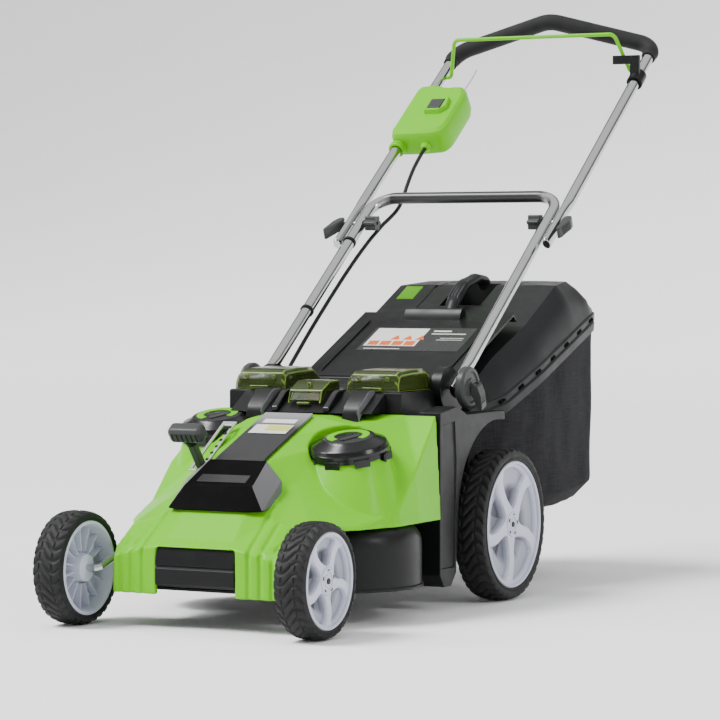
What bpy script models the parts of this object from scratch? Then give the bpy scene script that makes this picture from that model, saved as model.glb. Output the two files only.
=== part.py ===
"""Cordless electric rotary lawn mower: twin blades, rear grass bag, two-part folding handle.

The mower's own frame: -Y is its front, Z is up from the ground, y = 0 is midway between the axles, and +X is on
the left of a user standing behind it. Names ending in _R are at +X and _L at -X, as seen from in front. The whole
assembly hangs on one empty that centres its box on the origin.
"""

import math

import bmesh
import bpy
from mathutils import Matrix, Vector

# ---- driving dimensions (metres, degrees) ----
MID_AXLE_Y = -0.32975
HALF_WHEELBASE = 0.3066
FRONT_RADIUS, FRONT_WIDTH, FRONT_RIM, FRONT_OUTER_X = 0.089, 0.053, 0.0739, 0.2386
REAR_RADIUS, REAR_WIDTH, REAR_RIM, REAR_OUTER_X = 0.127, 0.0575, 0.1059, 0.2585
WHEEL_FACETS = 32
CRANK_REACH, CRANK_DROP = 0.0573, 0.0177
AXLE_ROD = 0.006

HANDLE_ANGLE = math.radians(37.1)
PIVOT_Y, PIVOT_Z = 0.233, 0.358
LOWER_LEG_X, UPPER_LEG_X = 0.1845, 0.2065
TUBE = 0.0105
CLAMP_REACH, CROSSBAR_REACH, UPPER_START, GRIP_REACH = 0.458, 0.535, 0.393, 1.015
GRIP_APEX_Y, GRIP_APEX_Z = 1.022, 1.024
FOAM = 0.0155
CAM_HEEL = 0.0073

SKIRT_BOTTOM, SKIRT_TOP = 0.053, 0.150
LOBE_RADIUS, SPINDLE_X = 0.127, 0.118
SPINDLE_Y = {1: -0.045, -1: 0.030}
CAP_CENTRE = {1: (0.135, -0.050, 0.264), -1: (-0.145, 0.020, 0.289)}
CAP_RADIUS, CAP_HEIGHT = 0.063, 0.028
WALL = 0.003
BLADE_REACH = 0.120
LEVER_X, LEVER_PIVOT_Y, LEVER_PIVOT_Z = -0.088, -0.080, 0.172
DOOR_HINGE_Y, DOOR_HINGE_Z = 0.3125, 0.3620
BAG_FRONT, BAG_BACK = 0.345, 0.812

SIDES = {"L": -1, "R": 1}

PARTS = None
CUTTERS = None
MOWER = None


# ---- materials ----
FINISHES = {
    "green_plastic": ((0.30, 0.68, 0.03), 0.30, 0.0),
    "black_plastic": ((0.020, 0.021, 0.022), 0.42, 0.0),
    "grey_plastic": ((0.16, 0.17, 0.165), 0.45, 0.0),
    "panel_grey": ((0.24, 0.24, 0.245), 0.35, 0.2),
    "tinted_plastic": ((0.10, 0.20, 0.02), 0.12, 0.0),
    "white_plastic": ((0.74, 0.75, 0.82), 0.35, 0.0),
    "tyre_rubber": ((0.022, 0.022, 0.023), 0.80, 0.0),
    "chrome_tube": ((0.78, 0.78, 0.79), 0.12, 1.0),
    "plated_steel": ((0.55, 0.55, 0.56), 0.35, 1.0),
    "foam": ((0.018, 0.018, 0.019), 0.90, 0.0),
    "bag_cloth": ((0.030, 0.030, 0.033), 0.90, 0.0),
    "cable_rubber": ((0.018, 0.018, 0.018), 0.55, 0.0),
    "key_red": ((0.55, 0.04, 0.03), 0.40, 0.0),
}


def finish(name):
    """The material of this name, made once."""
    if name in bpy.data.materials:
        return bpy.data.materials[name]
    colour, roughness, metallic = FINISHES[name]
    material = bpy.data.materials.new(name)
    material.use_nodes = True
    shader = material.node_tree.nodes["Principled BSDF"]
    shader.inputs["Base Color"].default_value = (*colour, 1.0)
    shader.inputs["Roughness"].default_value = roughness
    shader.inputs["Metallic"].default_value = metallic
    material.diffuse_color = (*colour, 1.0)
    return material


# ---- building helpers ----
def add(name, mesh, centre=(0, 0, 0)):
    """An object with its origin at centre, from a mesh drawn in the mower's frame."""
    mesh.transform(Matrix.Translation(-Vector(centre)))
    mesh.name = name
    part = bpy.data.objects.new(name, mesh)
    CUTTERS.objects.link(part)
    part.parent = MOWER
    part.location = centre
    part.hide_render = True
    part.display_type = "WIRE"
    return part


def keep(part, finish_name, smooth=True):
    """Turns a drawn solid into a piece of the mower."""
    CUTTERS.objects.unlink(part)
    PARTS.objects.link(part)
    part.hide_render = False
    part.display_type = "TEXTURED"
    part.data.materials.clear()
    part.data.materials.append(finish(finish_name))
    if smooth:
        part.data.shade_smooth()
        part.data.set_sharp_from_angle(angle=math.radians(35))
    return part


def to_mesh(bm, name):
    mesh = bpy.data.meshes.new(name)
    bm.to_mesh(mesh)
    bm.free()
    return mesh


def face_outwards(bm):
    """Turns a closed shape's faces to point out of it."""
    bmesh.ops.recalc_face_normals(bm, faces=bm.faces)
    if bm.calc_volume(signed=True) < 0:
        bmesh.ops.reverse_faces(bm, faces=bm.faces)


def combine(target, other, operation):
    """Cuts other out of target, or joins it on."""
    step = target.modifiers.new(f"{operation.lower()} {other.name}", "BOOLEAN")
    step.operation = operation
    step.solver = "EXACT"
    step.object = other
    return target


def cut(target, *others):
    for other in others:
        combine(target, other, "DIFFERENCE")
    return target


def fuse(target, *others):
    for other in others:
        combine(target, other, "UNION")
    return target


def box(name, low, high, origin=None):
    """A box between two corners."""
    bm = bmesh.new()
    bmesh.ops.create_cube(bm, size=1.0)
    low, high = Vector(low), Vector(high)
    spread = high - low
    bmesh.ops.scale(bm, vec=spread, verts=bm.verts)
    bmesh.ops.translate(bm, vec=(low + high) / 2, verts=bm.verts)
    return add(name, to_mesh(bm, name), (low + high) / 2 if origin is None else origin)


AXIS_TURN = {"X": Matrix.Rotation(math.pi / 2, 4, "Y"), "Y": Matrix.Rotation(-math.pi / 2, 4, "X"), "Z": Matrix()}


def rod(name, centre, radius, length, axis="X", facets=16, tip=None):
    """A cylinder, or a cone where tip gives the far end's radius, about centre."""
    bm = bmesh.new()
    bmesh.ops.create_cone(
        bm, cap_ends=True, segments=facets, radius1=radius, radius2=radius if tip is None else tip, depth=length
    )
    half_step = Matrix.Rotation(math.pi / facets, 4, "Z")
    bm.transform(Matrix.Translation(centre) @ AXIS_TURN[axis] @ half_step)
    return add(name, to_mesh(bm, name), centre)


def loft(name, outlines, origin=(0, 0, 0)):
    """A skin through closed outlines with the same number of points, with flat ends."""
    bm = bmesh.new()
    rings = [[bm.verts.new(point) for point in outline] for outline in outlines]
    for near, far in zip(rings, rings[1:]):
        for i, corner in enumerate(near):
            j = (i + 1) % len(near)
            bm.faces.new((corner, near[j], far[j], far[i]))
    bm.faces.new(rings[0][::-1])
    bm.faces.new(rings[-1])
    face_outwards(bm)
    return add(name, to_mesh(bm, name), origin)


def from_curve(name, curve, place, origin):
    """A closed mesh from a curve, with its caps welded."""
    holder = bpy.data.objects.new(name + "_curve", curve)
    CUTTERS.objects.link(holder)
    graph = bpy.context.evaluated_depsgraph_get()
    mesh = bpy.data.meshes.new_from_object(holder.evaluated_get(graph))
    bpy.data.objects.remove(holder)
    bm = bmesh.new()
    bm.from_mesh(mesh)
    bmesh.ops.remove_doubles(bm, verts=bm.verts, dist=1e-5)
    bm.transform(place)
    face_outwards(bm)
    bm.to_mesh(mesh)
    bm.free()
    return add(name, mesh, origin)


def side_plate(name, outline, x_low, x_high, origin=(0, 0, 0)):
    """A flat plate from an outline of (y, z) points, between two X planes."""
    curve = bpy.data.curves.new(name, "CURVE")
    curve.dimensions = "2D"
    curve.fill_mode = "BOTH"
    curve.extrude = (x_high - x_low) / 2
    spline = curve.splines.new("POLY")
    spline.points.add(len(outline) - 1)
    for point, (y, z) in zip(spline.points, outline):
        point.co = (y, z, 0, 1)
    spline.use_cyclic_u = True
    turn = Matrix(((0, 0, 1, (x_low + x_high) / 2), (1, 0, 0, 0), (0, 1, 0, 0), (0, 0, 0, 1)))
    return from_curve(name, curve, turn, origin)


def tube(name, points, radius, roundness=2, origin=(0, 0, 0)):
    """A round bar along a chain of points."""
    curve = bpy.data.curves.new(name, "CURVE")
    curve.dimensions = "3D"
    curve.bevel_depth = radius
    curve.bevel_resolution = roundness
    curve.use_fill_caps = True
    spline = curve.splines.new("POLY")
    spline.points.add(len(points) - 1)
    for point, place in zip(spline.points, points):
        point.co = (*place, 1)
    return from_curve(name, curve, Matrix(), origin)


def bent(corners, radius, steps=4):
    """A chain of points through corners, each inner one rounded to an arc of this radius."""
    corners = [Vector(c) for c in corners]
    radii = radius if isinstance(radius, (list, tuple)) else [radius] * (len(corners) - 2)
    points = [corners[0]]
    for before, corner, after, bend in zip(corners, corners[1:], corners[2:], radii):
        back, on = (before - corner).normalized(), (after - corner).normalized()
        half = back.angle(on) / 2
        start, end = corner + back * bend / math.tan(half), corner + on * bend / math.tan(half)
        centre = corner + (back + on).normalized() * bend / math.sin(half)
        for k in range(steps + 1):
            arm = (start - centre).normalized().slerp((end - centre).normalized(), k / steps)
            points.append(centre + arm * bend)
    return points + [corners[-1]]


def turned(name, profile, centre, axis="X", facets=WHEEL_FACETS, side=1):
    """A solid turned from a closed profile of (radius, along) points, as a Screw modifier on its outline."""
    mesh = bpy.data.meshes.new(name)
    count = len(profile)
    mesh.from_pydata([(r, 0, a * side) for r, a in profile], [(i, (i + 1) % count) for i in range(count)], [])
    part = add(name, mesh)
    screw = part.modifiers.new("turn", "SCREW")
    screw.axis = "Z"
    screw.steps = screw.render_steps = facets
    screw.use_merge_vertices = True
    screw.merge_threshold = 0.00001
    screw.use_normal_calculate = True
    graph = bpy.context.evaluated_depsgraph_get()
    skin = bpy.data.meshes.new_from_object(part.evaluated_get(graph))
    bpy.data.objects.remove(part)
    bm = bmesh.new()
    bm.from_mesh(skin)
    bmesh.ops.remove_doubles(bm, verts=bm.verts, dist=1e-6)
    half_step = Matrix.Rotation(math.pi / facets, 4, "Z")
    bm.transform(Matrix.Translation(centre) @ AXIS_TURN[axis] @ half_step)
    face_outwards(bm)
    bm.to_mesh(skin)
    bm.free()
    return add(name, skin, centre)


def along_handle(reach, rise=0.0):
    """(y, z) of a point this far up the handle from its pivot, and this far square to it."""
    c, s = math.cos(HANDLE_ANGLE), math.sin(HANDLE_ANGLE)
    return PIVOT_Y + reach * c - rise * s, PIVOT_Z + reach * s + rise * c


def arc(centre, radius, first, last, steps):
    """Points on an arc, in degrees."""
    turns = [math.radians(first + (last - first) * k / steps) for k in range(steps + 1)]
    return [(centre[0] + radius * math.cos(t), centre[1] + radius * math.sin(t)) for t in turns]


# ---- wheels and axles ----
def wheel(tag, side, y, radius, width, rim_radius, outer_x):
    """A tyre and a rim with five spokes between scooped pockets, both centred on the axle."""
    centre = (side * (outer_x - width / 2), y, radius)
    rise = 1 / math.cos(math.pi / WHEEL_FACETS)
    outer, seat, half = radius * rise, rim_radius * rise, width / 2
    tyre = turned(
        f"tyre_{tag}",
        [(seat, half - 0.001), (outer - 0.010, half), (outer, half - 0.012), (outer, 0.012 - half),
         (outer - 0.010, -half), (seat, 0.001 - half)],
        centre,
        side=side,
    )
    keep(tyre, "tyre_rubber")
    edge, hub, bore = seat - 0.0004, 0.021, AXLE_ROD + 0.0008
    rim = turned(
        f"rim_{tag}",
        [(0, half - 0.006), (hub, half - 0.006), (edge - 0.010, half - 0.004), (edge, half - 0.002),
         (edge, 0.002 - half), (edge - 0.006, 0.002 - half), (edge - 0.009, half - 0.020), (hub + 0.004, half - 0.020),
         (hub, 0.006 - half), (bore, 0.006 - half), (bore, half - 0.014), (0, half - 0.014)],
        centre,
        side=side,
    )
    pockets = spoke_pockets(tag, centre, side, hub + 0.010, edge - 0.014, half)
    keep(cut(rim, *pockets), "white_plastic")


def spoke_pockets(tag, centre, side, inner, outer, half):
    """Five wedge cutters that leave the spokes standing."""
    pockets = []
    x_high = half + 0.005
    x_low = half - 0.013
    for k in range(5):
        middle = 90 + 72 * k
        wedge = arc((0, 0), outer, middle - 24, middle + 24, 4) + arc((0, 0), inner, middle + 14, middle - 14, 1)
        ends = sorted((centre[0] + side * x_low, centre[0] + side * x_high))
        outline = [(centre[1] + y, centre[2] + z) for y, z in wedge]
        pockets.append(side_plate(f"pocket_{tag}_{k}", outline, *ends, origin=centre))
    return pockets


def cranked_axle(name, y, z, reach, arm_x, stub_x):
    """One bent rod: the bar that turns in the deck, a crank at each end and the stubs that carry the wheels."""
    bar_y, bar_z = y + reach, z + CRANK_DROP
    corners = [(-stub_x, y, z), (-arm_x, y, z), (-arm_x, bar_y, bar_z), (arm_x, bar_y, bar_z), (arm_x, y, z),
               (stub_x, y, z)]
    path = [Vector(c) for c in corners]
    return keep(tube(name, bent(path, 0.006, 1), AXLE_ROD, origin=(0, bar_y, bar_z)), "plated_steel")


def build_running_gear():
    for end, sign in (("front", -1), ("rear", 1)):
        sizes = {
            -1: (FRONT_RADIUS, FRONT_WIDTH, FRONT_RIM, FRONT_OUTER_X),
            1: (REAR_RADIUS, REAR_WIDTH, REAR_RIM, REAR_OUTER_X),
        }[sign]
        for tag, side in SIDES.items():
            wheel(f"{end}_{tag}", side, sign * HALF_WHEELBASE, *sizes)
    cranked_axle("front_axle", -HALF_WHEELBASE, FRONT_RADIUS, CRANK_REACH, 0.1715, 0.222)
    cranked_axle("rear_axle", HALF_WHEELBASE, REAR_RADIUS, -CRANK_REACH, 0.193, 0.242)


# ---- deck and covers ----
def deck_outline(inset, z):
    """The deck's plan, a lobe round each blade, drawn in from the outside by inset."""
    r = LOBE_RADIUS - inset
    front, rear = -0.236 + inset, 0.215 - inset
    right = arc((SPINDLE_X, SPINDLE_Y[1]), r, -75, 60, 9)
    left = arc((-SPINDLE_X, SPINDLE_Y[-1]), r, 120, 255, 9)
    half_rear = 0.185 - inset
    points = [(-0.105 + inset, front), (0.105 - inset, front), (0.125 - inset, front + 0.018), *right,
              (half_rear, 0.100), (half_rear, rear), (-half_rear, rear), (-half_rear, 0.165), *left,
              (-0.125 + inset, front + 0.018)]
    return [(x, y, z) for x, y in points]


CHUTE = [(0.140, 0.120), (0.140, 0.180), (0.255, 0.300), (0.335, 0.305), (0.335, 0.172), (0.232, 0.1525),
         (0.205, 0.1525), (0.205, 0.120)]
CHUTE_INSIDE = [(0.144, 0.090), (0.144, 0.1785), (0.2565, 0.296), (0.360, 0.301), (0.360, 0.1765),
                (0.2310, 0.1565), (0.201, 0.1565), (0.201, 0.090)]


def build_deck():
    """The black skirted deck with its rear chute, open below, and the lugs that hold both axles."""
    deck = loft("deck_shell", [deck_outline(0, SKIRT_BOTTOM), deck_outline(0, 0.132), deck_outline(0.018, SKIRT_TOP)])
    fuse(deck, side_plate("chute_outside", CHUTE, -0.145, 0.145))
    for side in (-1, 1):
        x_low, x_high = sorted((side * 0.092, side * 0.110))
        fuse(deck, box(f"front_lug_{side}", (x_low, -0.262, 0.092), (x_high, -0.230, 0.121)))
        x_low, x_high = sorted((side * 0.152, side * 0.172))
        fuse(deck, box(f"rear_lug_{side}", (x_low, 0.209, 0.128), (x_high, 0.264, 0.162)))
    inside = loft("deck_inside", [deck_outline(0.004, 0.040), deck_outline(0.004, 0.130), deck_outline(0.022, 0.146)])
    cut(deck, inside, side_plate("chute_inside", CHUTE_INSIDE, -0.141, 0.141))
    for side, y in SPINDLE_Y.items():
        cut(deck, rod(f"shaft_hole_{side}", (side * SPINDLE_X, y, 0.150), 0.0118, 0.04, "Z"))
    cut(deck, axle_bore("front"), axle_bore("rear"))
    keep(deck, "black_plastic")


def axle_bore(end):
    """A straight bore for the turning bar of the front or rear axle."""
    y, z = {
        "front": (CRANK_REACH - HALF_WHEELBASE, FRONT_RADIUS + CRANK_DROP),
        "rear": (HALF_WHEELBASE - CRANK_REACH, REAR_RADIUS + CRANK_DROP),
    }[end]
    name = f"{end}_axle_bore"
    if name in bpy.data.objects:
        return bpy.data.objects[name]
    return rod(name, (0, y, z), AXLE_ROD + 0.0009, 0.36)


# Stations of the green cover from front to rear: y, then (x, z) of the panel edge, the slope, the outer edge
# and the foot of one half.
COVER_FRONT = [
    (-0.303, (0.060, 0.128), (0.098, 0.122), (0.146, 0.108), (0.147, 0.053)),
    (-0.288, (0.060, 0.138), (0.100, 0.134), (0.150, 0.124), (0.152, 0.053)),
    (-0.238, (0.055, 0.185), (0.100, 0.168), (0.155, 0.150), (0.158, 0.053)),
    (-0.202, (0.052, 0.232), (0.088, 0.195), (0.158, 0.158), (0.160, 0.053)),
]
COVER_MAIN = [
    (-0.240, (0.055, 0.183), (0.096, 0.166), (0.150, 0.153), (0.152, 0.151)),
    (-0.218, (0.052, 0.226), (0.086, 0.185), (0.160, 0.155), (0.163, 0.151)),
    (-0.150, (0.050, 0.2565), (0.088, 0.222), (0.200, 0.158), (0.206, 0.151)),
    (-0.060, (0.047, 0.2925), (0.098, 0.272), (0.226, 0.175), (0.232, 0.151)),
    (0.000, (0.045, 0.3165), (0.115, 0.303), (0.226, 0.235), (0.233, 0.151)),
    (0.082, (0.080, 0.3185), (0.166, 0.3185), (0.222, 0.318), (0.231, 0.151)),
]


def cover_sections(stations, inset=0.0, drop=0.0, rear=0.0):
    """Closed outlines of the cover across the mower, drawn in by inset, the foot lowered and the back moved."""
    outlines = []
    last = len(stations) - 1
    for k, (y, panel, slope, edge, foot) in enumerate(stations):
        y += inset if k == 0 else rear if k == last else 0
        half = [(x - inset, z - inset) for x, z in (panel, slope, edge)] + [(foot[0] - inset, foot[1] - drop)]
        outlines.append([(x, y, z) for x, z in half] + [(-x, y, z) for x, z in half[::-1]])
    return outlines


def tower(side, inset, drop):
    """The cone that carries a motor cap."""
    x, y, top = CAP_CENTRE[side]
    foot = 0.1512 - drop
    base = 0.233 - abs(x) - inset
    height = top - 0.0028 - inset - foot
    name = f"tower_{side}_{inset}"
    return rod(name, (x, y, foot + height / 2), base, height, "Z", 24, tip=CAP_RADIUS - 0.004 - inset)


def cap_well(side, inset):
    """The space round a motor cap where the cover stands higher than the cap's rim."""
    x, y, z = CAP_CENTRE[side]
    low, high = z - 0.0045 - inset, 0.400
    name = f"cap_well_{side}_{inset}"
    return rod(name, (x, y, (low + high) / 2), CAP_RADIUS + 0.0015 + inset, high - low, "Z", 24)


def build_top_cover():
    """The green cover: a ridged nose and shoulders in front, and a tower over each motor."""
    cover = cut(loft("top_cover", cover_sections(COVER_MAIN)), cap_well(1, 0), cap_well(-1, 0))
    fuse(cover, loft("cover_front", cover_sections(COVER_FRONT)), tower(1, 0, 0), tower(-1, 0, 0))
    inside = loft("cover_inside", cover_sections(COVER_MAIN, WALL, 0.02, -WALL))
    cut(inside, cap_well(1, WALL), cap_well(-1, WALL))
    front_inside = loft("cover_front_inside", cover_sections(COVER_FRONT, WALL, 0.02, 0.012))
    cut(cover, inside, front_inside, tower(1, WALL, 0.02), tower(-1, WALL, 0.02))
    cut(cover, box("bumper_gap", (-0.0705, -0.32, 0.04), (0.0705, -0.280, 0.1265)))
    cut(cover, box("panel_gap", (-0.26, 0.0832, 0.14), (0.26, 0.13, 0.34)))
    cut(cover, axle_bore("front"))
    cut(cover, box("lever_slot", (LEVER_X - 0.008, -0.158, 0.18), (LEVER_X + 0.008, -0.045, 0.34)))
    keep(cover, "green_plastic", smooth=False)


def build_bumper_and_panel():
    bumper = side_plate(
        "front_bumper", [(-0.300, 0.066), (-0.304, 0.105), (-0.298, 0.126), (-0.264, 0.126), (-0.264, 0.066)],
        -0.070, 0.070,
    )
    keep(bumper, "black_plastic")
    under = [(-0.2325, 0.196), (-0.2185, 0.2275), (-0.150, 0.2568), (-0.060, 0.2928), (-0.002, 0.3166)]
    over = [(y - 0.002, z + 0.0045) for y, z in reversed(under)]
    panel = side_plate("nose_panel", [(y - 0.0006, z + 0.0009) for y, z in under] + over, -0.044, 0.044)
    keep(panel, "panel_grey")


def build_motor_units():
    """Each unit: a motor on the deck, its cap on the cover, and the blade bolted under it."""
    for tag, side in SIDES.items():
        x, y = side * SPINDLE_X, SPINDLE_Y[side]
        motor = rod(f"motor_{tag}", (x, y, 0.1955), 0.038, 0.089, "Z", 20)
        keep(fuse(motor, rod(f"shaft_{tag}", (x, y, 0.118), 0.011, 0.080, "Z")), "plated_steel")
        cx, cy, cz = CAP_CENTRE[side]
        cap = turned(
            f"motor_cap_{tag}",
            [(0, CAP_HEIGHT - 0.004), (CAP_RADIUS * 0.55, CAP_HEIGHT - 0.003), (CAP_RADIUS * 0.86, CAP_HEIGHT - 0.008),
             (CAP_RADIUS, 0.010), (CAP_RADIUS, -0.004), (CAP_RADIUS - 0.003, -0.004), (CAP_RADIUS - 0.003, 0.001),
             (0, 0.001)],
            (cx, cy, cz), "Z", 28,
        )
        keep(cap, "black_plastic")
        build_blade(tag, side, x, y)


def build_blade(tag, side, x, y):
    """A flat bar blade with upturned wings at its trailing corners, and the bolt that holds it."""
    z, thick, half_chord, tip = 0.0735, 0.003, 0.022, BLADE_REACH - 0.004
    sections = []
    for reach, front_lift, back_lift in ((-tip, 0.008, 0), (-0.085, 0.008, 0), (-0.070, 0, 0), (0.070, 0, 0),
                                         (0.085, 0, 0.008), (tip, 0, 0.008)):
        under = [(-half_chord, front_lift), (-0.010, 0), (0.010, 0), (half_chord, back_lift)]
        ring = under + [(a, lift + thick) for a, lift in reversed(under)]
        sections.append([(x + reach, y + a, z - thick / 2 + lift) for a, lift in ring])
    bar = loft(f"blade_{tag}", sections, (x, y, z))
    cut(bar, rod(f"blade_bore_{tag}", (x, y, z), 0.0053, 0.02, "Z", 12))
    keep(bar, "plated_steel")
    bolt = rod(f"blade_bolt_{tag}", (x, y, 0.0690), 0.009, 0.0050, "Z", 6)
    keep(fuse(bolt, rod(f"bolt_shank_{tag}", (x, y, 0.0735), 0.005, 0.0080, "Z", 12)), "plated_steel")


HOUSING = [(0.030, 0.3205), (0.084, 0.3535), (0.230, 0.3535), (0.302, 0.3660), (0.3045, 0.3590), (0.3045, 0.3180),
           (0.225, 0.3060), (0.212, 0.262), (0.088, 0.262), (0.086, 0.3200)]


def build_battery_housing():
    """The black housing behind the cover with two open battery bays and a boss at each handle pivot."""
    housing = side_plate("battery_housing", HOUSING, -0.160, 0.160)
    for tag, side in SIDES.items():
        fuse(housing, rod(f"pivot_boss_{tag}", (side * 0.1632, PIVOT_Y, PIVOT_Z - 0.003), 0.036, 0.0175, "X", 20))
        low, high = sorted((side * 0.1475, side * 0.1600))
        fuse(housing, box(f"hinge_lug_{tag}", (low, 0.295, 0.345), (high, 0.3205, 0.3700)))
        low, high = sorted((side * 0.0620, side * 0.1460))
        cut(housing, box(f"bay_{tag}", (low, 0.096, 0.268), (high, 0.203, 0.380)))
        cut(housing, rod(f"pivot_bore_{tag}", (side * 0.150, PIVOT_Y, PIVOT_Z), 0.0044, 0.06, "X", 12))
        pack = box(f"battery_{tag}", (low + 0.002, 0.098, 0.2695), (high - 0.002, 0.201, 0.3535))
        keep(pack, "black_plastic", smooth=False)
    cut(housing, box("key_seat", (-0.024, 0.045, 0.3380), (0.024, 0.110, 0.3700)))
    cut(housing, rod("door_rod_bore", (0, DOOR_HINGE_Y, DOOR_HINGE_Z), 0.0034, 0.40, "X", 12))
    keep(housing, "black_plastic", smooth=False)
    rod_piece = rod("door_hinge_rod", (0, DOOR_HINGE_Y, DOOR_HINGE_Z), 0.0030, 0.318, "X", 12)
    keep(rod_piece, "plated_steel")


def build_lids():
    """Two battery lids hinged behind and the small cover over the safety key."""
    for tag, side in SIDES.items():
        sections = []
        for inset in (0.0, 0.0025):
            half = 0.048 - inset
            low = 0.3542 - (0.010 if inset else 0.0)
            steps = [(0.086 + inset, low, 0.3700 - inset, half), (0.100 + inset, low, 0.3860 - inset, half - 0.002),
                     (0.190, low, 0.3890 - inset, half - 0.003), (0.212 - inset, low, 0.3760 - inset, half - 0.002)]
            sections.append([
                [(side * 0.105 - w, y, z0), (side * 0.105 + w, y, z0), (side * 0.105 + w - 0.006, y, z1),
                 (side * 0.105 - w + 0.006, y, z1)] for y, z0, z1, w in steps
            ])
        hinge = (side * 0.105, 0.2120, 0.3600)
        lid = loft(f"battery_lid_{tag}", sections[0], hinge)
        keep(cut(lid, loft(f"lid_inside_{tag}", sections[1])), "tinted_plastic", smooth=False)
    cover = side_plate(
        "key_cover", [(0.044, 0.3345), (0.052, 0.3560), (0.080, 0.3700), (0.112, 0.3710), (0.112, 0.3545),
                      (0.070, 0.3545), (0.050, 0.3365)], -0.030, 0.030, (0, 0.112, 0.3600),
    )
    hollow = side_plate("key_hollow", [(0.040, 0.330), (0.055, 0.3538), (0.082, 0.3672), (0.108, 0.3680), (0.108, 0.330)],
                        -0.0275, 0.0275)
    keep(cut(cover, hollow), "tinted_plastic", smooth=False)
    key = box("safety_key", (-0.012, 0.072, 0.3384), (0.012, 0.092, 0.3560))
    keep(key, "key_red", smooth=False)


def side_panel_outline():
    """The rear side panel: a front edge, a thin top and the arch over the rear wheel."""
    arch = arc((HALF_WHEELBASE, 0.150), 0.152, 82, 176, 8)
    return [(0.086, 0.060), (0.086, 0.322), (0.150, 0.330), (0.186, 0.3155), (0.330, 0.3155), (0.334, 0.3010), *arch,
            (0.146, 0.060), (0.128, 0.040), (0.100, 0.040)]


def build_side_panels():
    """The rear side panels, kept clear of the wheels and of the handle's legs."""
    for tag, side in SIDES.items():
        low, high = sorted((side * 0.1885, side * 0.2270))
        panel = side_plate(f"rear_side_panel_{tag}", side_panel_outline(), low, high)
        low, high = sorted((side * 0.180, side * 0.2235))
        hollow = side_plate(f"panel_hollow_{tag}", [(0.0895, 0.064), (0.0895, 0.318), (0.1480, 0.326), (0.1480, 0.064)],
                            low, high)
        cut(panel, hollow)
        if side < 0:
            cut(panel, box("left_lobe_gap", (low - 0.01, 0.050, 0.030), (high + 0.01, 0.160, 0.1518)))
        keep(panel, "black_plastic", smooth=False)


# ---- height adjustment ----
def build_height_lever():
    """The toothed quadrant on the cover and the lever that swings through it."""
    pivot = (LEVER_X, LEVER_PIVOT_Y, LEVER_PIVOT_Z)
    lean = math.radians(38)
    stalk = box("height_lever", (-0.0045, -0.006, -0.010), (0.0045, 0.006, 0.142), (0, 0, 0))
    knob = box("lever_knob", (-0.031, -0.013, 0.1425), (0.031, 0.013, 0.170), (0, 0, 0))
    turn = Matrix.Translation(pivot) @ Matrix.Rotation(lean, 4, "X")
    for piece in (stalk, knob):
        piece.data.transform(Matrix.Translation(-Vector(pivot)) @ turn)
        piece.location = pivot
    keep(stalk, "plated_steel", smooth=False)
    bevel = knob.modifiers.new("soft edges", "BEVEL")
    bevel.width = 0.007
    bevel.segments = 2
    keep(knob, "grey_plastic")
    slope = math.atan2(0.0738, 0.1139)
    plate = box("height_quadrant", (-0.0125, -0.066, 0), (0.0125, 0.066, 0.0025), (0, 0, 0))
    cut(plate, box("quadrant_slot", (-0.0075, -0.060, -0.01), (0.0075, 0.056, 0.01), (0, 0, 0)))
    tilt = Matrix.Translation((0, -0.0965, 0.2690)) @ Matrix.Rotation(slope, 4, "X")
    for piece in (plate, bpy.data.objects["quadrant_slot"]):
        piece.data.transform(tilt)
        piece.location = (LEVER_X, 0, 0)
    keep(plate, "plated_steel", smooth=False)


# ---- handle ----
def leg_point(x, reach, rise=0.0):
    return Vector((x, *along_handle(reach, rise)))


def build_lower_handle():
    """One bent tube: two legs and the crossbar above the clamps."""
    x = LOWER_LEG_X
    corners = [leg_point(-x, -0.014), leg_point(-x, CROSSBAR_REACH), leg_point(x, CROSSBAR_REACH), leg_point(x, -0.014)]
    pivot = (0, PIVOT_Y, PIVOT_Z)
    handle = tube("lower_handle", bent(corners, 0.045), TUBE, origin=pivot)
    for tag, side in SIDES.items():
        cut(handle, rod(f"leg_bore_{tag}", (side * x, PIVOT_Y, PIVOT_Z), 0.0044, 0.06, "X", 12))
        y, z = along_handle(CLAMP_REACH)
        cut(handle, rod(f"clamp_bore_{tag}", (side * x, y, z), 0.0034, 0.12, "X", 12))
    keep(handle, "chrome_tube")


def build_pivots():
    """At each leg's foot: a round bracket, the bolt and a cam lever outside it."""
    for tag, side in SIDES.items():
        centre = (side * 0.2045, PIVOT_Y, PIVOT_Z)
        disc = rod(f"pivot_disc_{tag}", centre, 0.034, 0.0165, "X", 20)
        cut(disc, rod(f"disc_bore_{tag}", centre, 0.0044, 0.05, "X", 12))
        keep(disc, "grey_plastic")
        bolt = rod(f"pivot_bolt_{tag}", (side * 0.1845, PIVOT_Y, PIVOT_Z), 0.0040, 0.070, "X", 12)
        keep(bolt, "plated_steel")
        lever = cam_lever(f"pivot_cam_{tag}", side, 0.2210, PIVOT_Y, PIVOT_Z, math.radians(-68), 0.040, 0.0046)
        keep(lever, "grey_plastic")


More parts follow.
